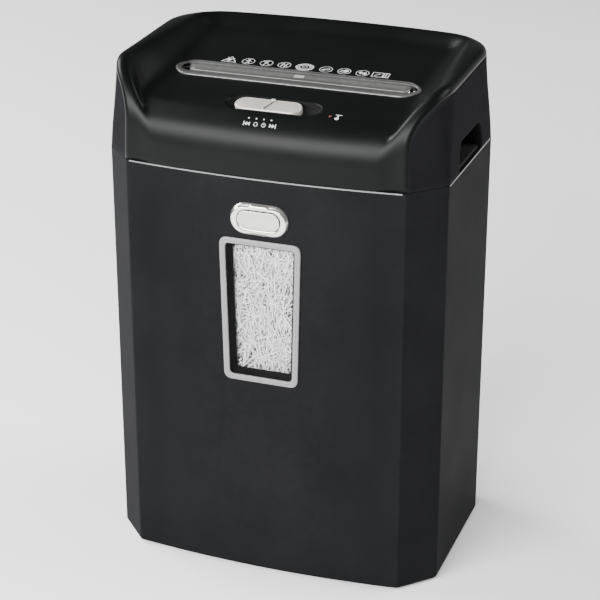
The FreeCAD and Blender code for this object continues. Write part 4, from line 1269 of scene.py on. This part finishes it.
def warningMarks():
    # the row of nine signs behind the slot, each about the point (0, 0)
    slash = linePath([(-4.6, 4.2), (4.6, -4.2)], 0.9)
    ring = ringMark(0, 0, 6.1, 0.7)
    triangle = linePath([(-7.2, -5.4), (7.2, -5.4), (0, 6.2)], 0.9, closed=True)
    hand = discMark(-1.2, -0.6, 2.6) + linePath([(0, 0), (3.6, 2.6)], 1.0)
    hand += linePath([(-2, 1), (-3.2, 4.2)], 0.9)
    child = discMark(0, 2.9, 1.5) + linePath([(0, 2), (0, -2.4)], 1.5)
    child += linePath([(-2.8, 0.6), (2.8, 0.2)], 0.9)
    child += linePath([(0, -2), (-2, -4.6)], 0.9) + linePath([(0, -2), (2.2, -4.4)], 0.9)
    tie = linePath([(-1.4, 4.2), (1.4, 4.2), (0, 1.6)], 0.9, closed=True)
    tie += linePath([(0, 2), (-1.8, -4.6)], 1.0)
    can = linePath([(-2.6, -3.2), (-1.2, 3.6)], 1.3) + linePath([(2.6, 3.2), (0.6, -3.6)], 1.3)
    disc = ringMark(0, 0, 8.4, 1.3, 0.84) + ringMark(0, 0, 6.2, 2.6, 0.8) + ringMark(0, 0, 2.4, 1.0, 0.8)
    clip = linePath([(-3.4, -0.6), (2.4, 2.2), (3.4, 0.4), (-1.8, -2.2)], 0.9) + discMark(-2.6, -1.4, 1.5)
    staple = discMark(1.6, 1.0, 2.7) + linePath([(-4, -1.6), (2, -2.4)], 1.1)
    staple += linePath([(-3.6, 1.8), (0, 0.4)], 0.9)
    film = discMark(-2.0, 0.9, 2.0) + discMark(2.4, -1.0, 2.1) + linePath([(-2, -2.6), (3, 3.0)], 0.8)
    card = linePath([(-8, -4.6), (8, -4.6), (8, 4.6), (-8, 4.6)], 0.9, closed=True)
    card += linePath([(2.6, -4.2), (2.6, 4.2)], 1.7) + linePath([(5.2, -4.2), (5.2, 4.2)], 1.2)
    card += linePath([(-5.6, -1.8), (-0.6, 1.8)], 0.8)
    return ((-76.6, triangle + hand), (-58.0, ring + child), (-39.6, ring + slash + tie),
            (-21.5, ring + slash + can), (-1.0, disc), (20.3, ring + clip), (38.4, ring + staple),
            (56.4, ring + film), (74.2, card))


def controlMarks():
    # the four positions under the switch: dots, then their symbols
    marks = []
    for x in (-15.2, -7.9, -0.7, 6.6):
        marks.append((x, 3.6, discMark(0, 0, 0.75)))
    arrows = []
    for shift in (-1.3, 1.3):
        arrows.append([(shift + 1.3, -1.9), (shift + 1.3, 1.9), (shift - 1.3, 0)])
    bar = linePath([(-3.2, -1.9), (-3.2, 1.9)], 0.75)
    ahead = [[(-x, y) for x, y in arrow] for arrow in arrows]
    barAhead = linePath([(3.2, -1.9), (3.2, 1.9)], 0.75)
    marks.append((-15.4, -2.2, arrows + bar))
    marks.append((-7.2, -2.2, ringMark(0, 0, 1.8, 0.65)))
    standby = ringMark(0, 0, 1.8, 0.65, start=130, end=410) + linePath([(0, 0.3), (0, 2.2)], 0.65)
    marks.append((0.4, -2.2, standby))
    marks.append((8.6, -2.2, ahead + barAhead))
    return marks


def buildMarks():
    bm = bmesh.new()
    down = Vector((0, math.sin(fieldTilt), -math.cos(fieldTilt)))
    upSlope = Vector((0, math.cos(fieldTilt), math.sin(fieldTilt)))
    for x, marks in warningMarks():
        layMarks(bm, marks, onField(x, 26.3, 0), Vector((1, 0, 0)), upSlope, down)
    look = Vector((0, math.cos(math.radians(42)), -math.sin(math.radians(42))))
    upFront = Vector((0, math.sin(math.radians(42)), math.cos(math.radians(42))))
    middle = Vector((0, -103.2, 461.0))
    for x, v, marks in controlMarks():
        layMarks(bm, marks, middle + Vector((x, 0, 0)) + upFront * v, Vector((1, 0, 0)), upFront, look)
    lampMiddle = Vector((64.4, -86.0, 468.5))
    heat = discMark(0, -2.6, 2.1) + linePath([(0, -2), (0, 3.4)], 1.5)
    heat += linePath([(-2.6, 4.4), (2.8, 4.4)], 1.1)
    layMarks(bm, heat, lampMiddle, Vector((1, 0, 0)), upSlope, down)
    return bm


def buildPlateMark():
    # the small sheet sign in the middle of the paper guide
    bm = bmesh.new()
    slope = math.atan2(-guides["dropW"] - 1.15, guides["backV"] - guides["lipV"] - 2.4)
    for mark in (linePath([(-4.4, -1.7), (4.4, -1.7), (4.4, 1.7), (-4.4, 1.7)], 0.7, closed=True)
                 + linePath([(-3.4, 0.5), (3.4, 0.5)], 1.0)):
        verts = []
        for point in mark:
            v = 7.4 + point[1]
            share = (v - guides["lipV"] - 2.4) / (guides["backV"] - guides["lipV"] - 2.4)
            w = mix(guides["dropW"] + 0.25, -0.9, share)
            verts.append(bm.verts.new(onField(point[0], v, w + 0.07)))
        bm.faces.new(verts)
    faced(bm)
    for face in bm.faces:
        if face.normal.z < 0:
            face.normal_flip()
    return bm


def buildLens():
    # the low red dome of the overheating lamp
    bm = bmesh.new()
    middle = Vector((57.5, -85.6, 468.0))
    up = Vector((0, -math.sin(fieldTilt), math.cos(fieldTilt)))
    ahead = Vector((0, math.cos(fieldTilt), math.sin(fieldTilt)))
    rings = []
    for radius, rise in ((1.55, -1.5), (1.55, 0.05), (1.4, 0.3), (1.05, 0.5), (0.55, 0.62)):
        ring = []
        for i in range(20):
            turn = 2 * math.pi * i / 20
            ring.append(middle + Vector((1, 0, 0)) * radius * 0.8 * math.cos(turn)
                        + ahead * radius * 1.25 * math.sin(turn) + up * rise)
        rings.append(ring)
    loftRings(bm, rings, cap=True)
    return faced(bm)


skin = buildSkin()
coverTree = BVHTree.FromBMesh(skin)
skin.free()
makePiece(buildMarks(), "printedMarks", materials["whiteInk"], "head", None, angle=80)
makePiece(buildPlateMark(), "sheetMark", materials["whiteInk"], "head", None, angle=80)
makePiece(buildLens(), "overheatLens", materials["redLens"], "head", ["overheat_lamp"], angle=60)
print("scene stage: marks")


# camera, light and floor

view = {"lens": 114.0, "sensor": 36.0, "place": (0.5867, -1.6195, 1.0014),
        "look": (-0.31302, 0.86033, -0.40229)}
# name: place, target, size, power
softboxes = {
    "keyBox": ((-0.55, -1.95, 1.25), (0, -0.1, 0.45), (2.2, 0.85), 165),
    "leftBox": ((-3.0, 0.3, 2.3), (0, 0.2, 0.0), (2.4, 2.0), 250),
    "rightBox": ((2.7, 1.5, 2.6), (0, 0.6, 0.0), (2.4, 2.0), 110),
    "rimBox": ((2.3, 0.6, 0.75), (0.1, 0, 0.45), (0.7, 0.9), 12),
}
floorPlan = {"half": 6.0, "flat": 3.0, "bend": 3.0}


def addCamera():
    lens = bpy.data.cameras.new("viewCamera")
    lens.lens = view["lens"]
    lens.sensor_width = view["sensor"]
    lens.clip_start = 0.05
    lens.clip_end = 20.0
    camera = bpy.data.objects.new("viewCamera", lens)
    camera.location = view["place"]
    camera.rotation_mode = "QUATERNION"
    camera.rotation_quaternion = Vector(view["look"]).to_track_quat("-Z", "Y")
    bpy.context.scene.collection.objects.link(camera)
    bpy.context.scene.camera = camera


def addSoftbox(name, place, target, size, power):
    lamp = bpy.data.lights.new(name, "AREA")
    lamp.shape = "RECTANGLE"
    lamp.size, lamp.size_y = size
    lamp.energy = power
    box = bpy.data.objects.new(name, lamp)
    box.location = place
    box.rotation_mode = "QUATERNION"
    box.rotation_quaternion = (Vector(target) - Vector(place)).to_track_quat("-Z", "Y")
    bpy.context.scene.collection.objects.link(box)


def addFloor():
    # a pale plain floor that curves up far behind
    bm = bmesh.new()
    bmesh.ops.create_grid(bm, x_segments=40, y_segments=60, size=1.0)
    for vert in bm.verts:
        along = vert.co.y * floorPlan["half"]
        turn = min(max(0.0, along - floorPlan["flat"]) / floorPlan["bend"], math.pi / 2)
        rise = floorPlan["bend"] * (1 - math.cos(turn))
        ahead = min(along, floorPlan["flat"]) + floorPlan["bend"] * math.sin(turn)
        vert.co = Vector((vert.co.x * floorPlan["half"], ahead, rise))
    mesh = bpy.data.meshes.new("paleFloor")
    bm.to_mesh(mesh)
    bm.free()
    mesh.shade_smooth()
    material, nodes, links, shader = startMaterial("paleFloor")
    grain = placeGroup(nodes, "grain", Mottle_Scale=2.0)
    links.new(colourMix(nodes, links, grain.outputs["Mottle"], (0.9, 0.9, 0.9), (0.92, 0.92, 0.92)),
              shader.inputs["Base Color"])
    shader.inputs["Roughness"].default_value = 0.9
    shader.inputs["Specular IOR Level"].default_value = 0.1
    mesh.materials.append(material)
    floor = bpy.data.objects.new("paleFloor", mesh)
    bpy.context.scene.collection.objects.link(floor)


addCamera()
addFloor()
world = bpy.data.worlds.new("studioWorld")
bpy.context.scene.world = world
world.use_nodes = True
world.node_tree.nodes["Background"].inputs["Color"].default_value = (1.0, 1.0, 1.0, 1)
world.node_tree.nodes["Background"].inputs["Strength"].default_value = 0.12
for name, values in softboxes.items():
    addSoftbox(name, *values)
print("scene stage: camera and light")
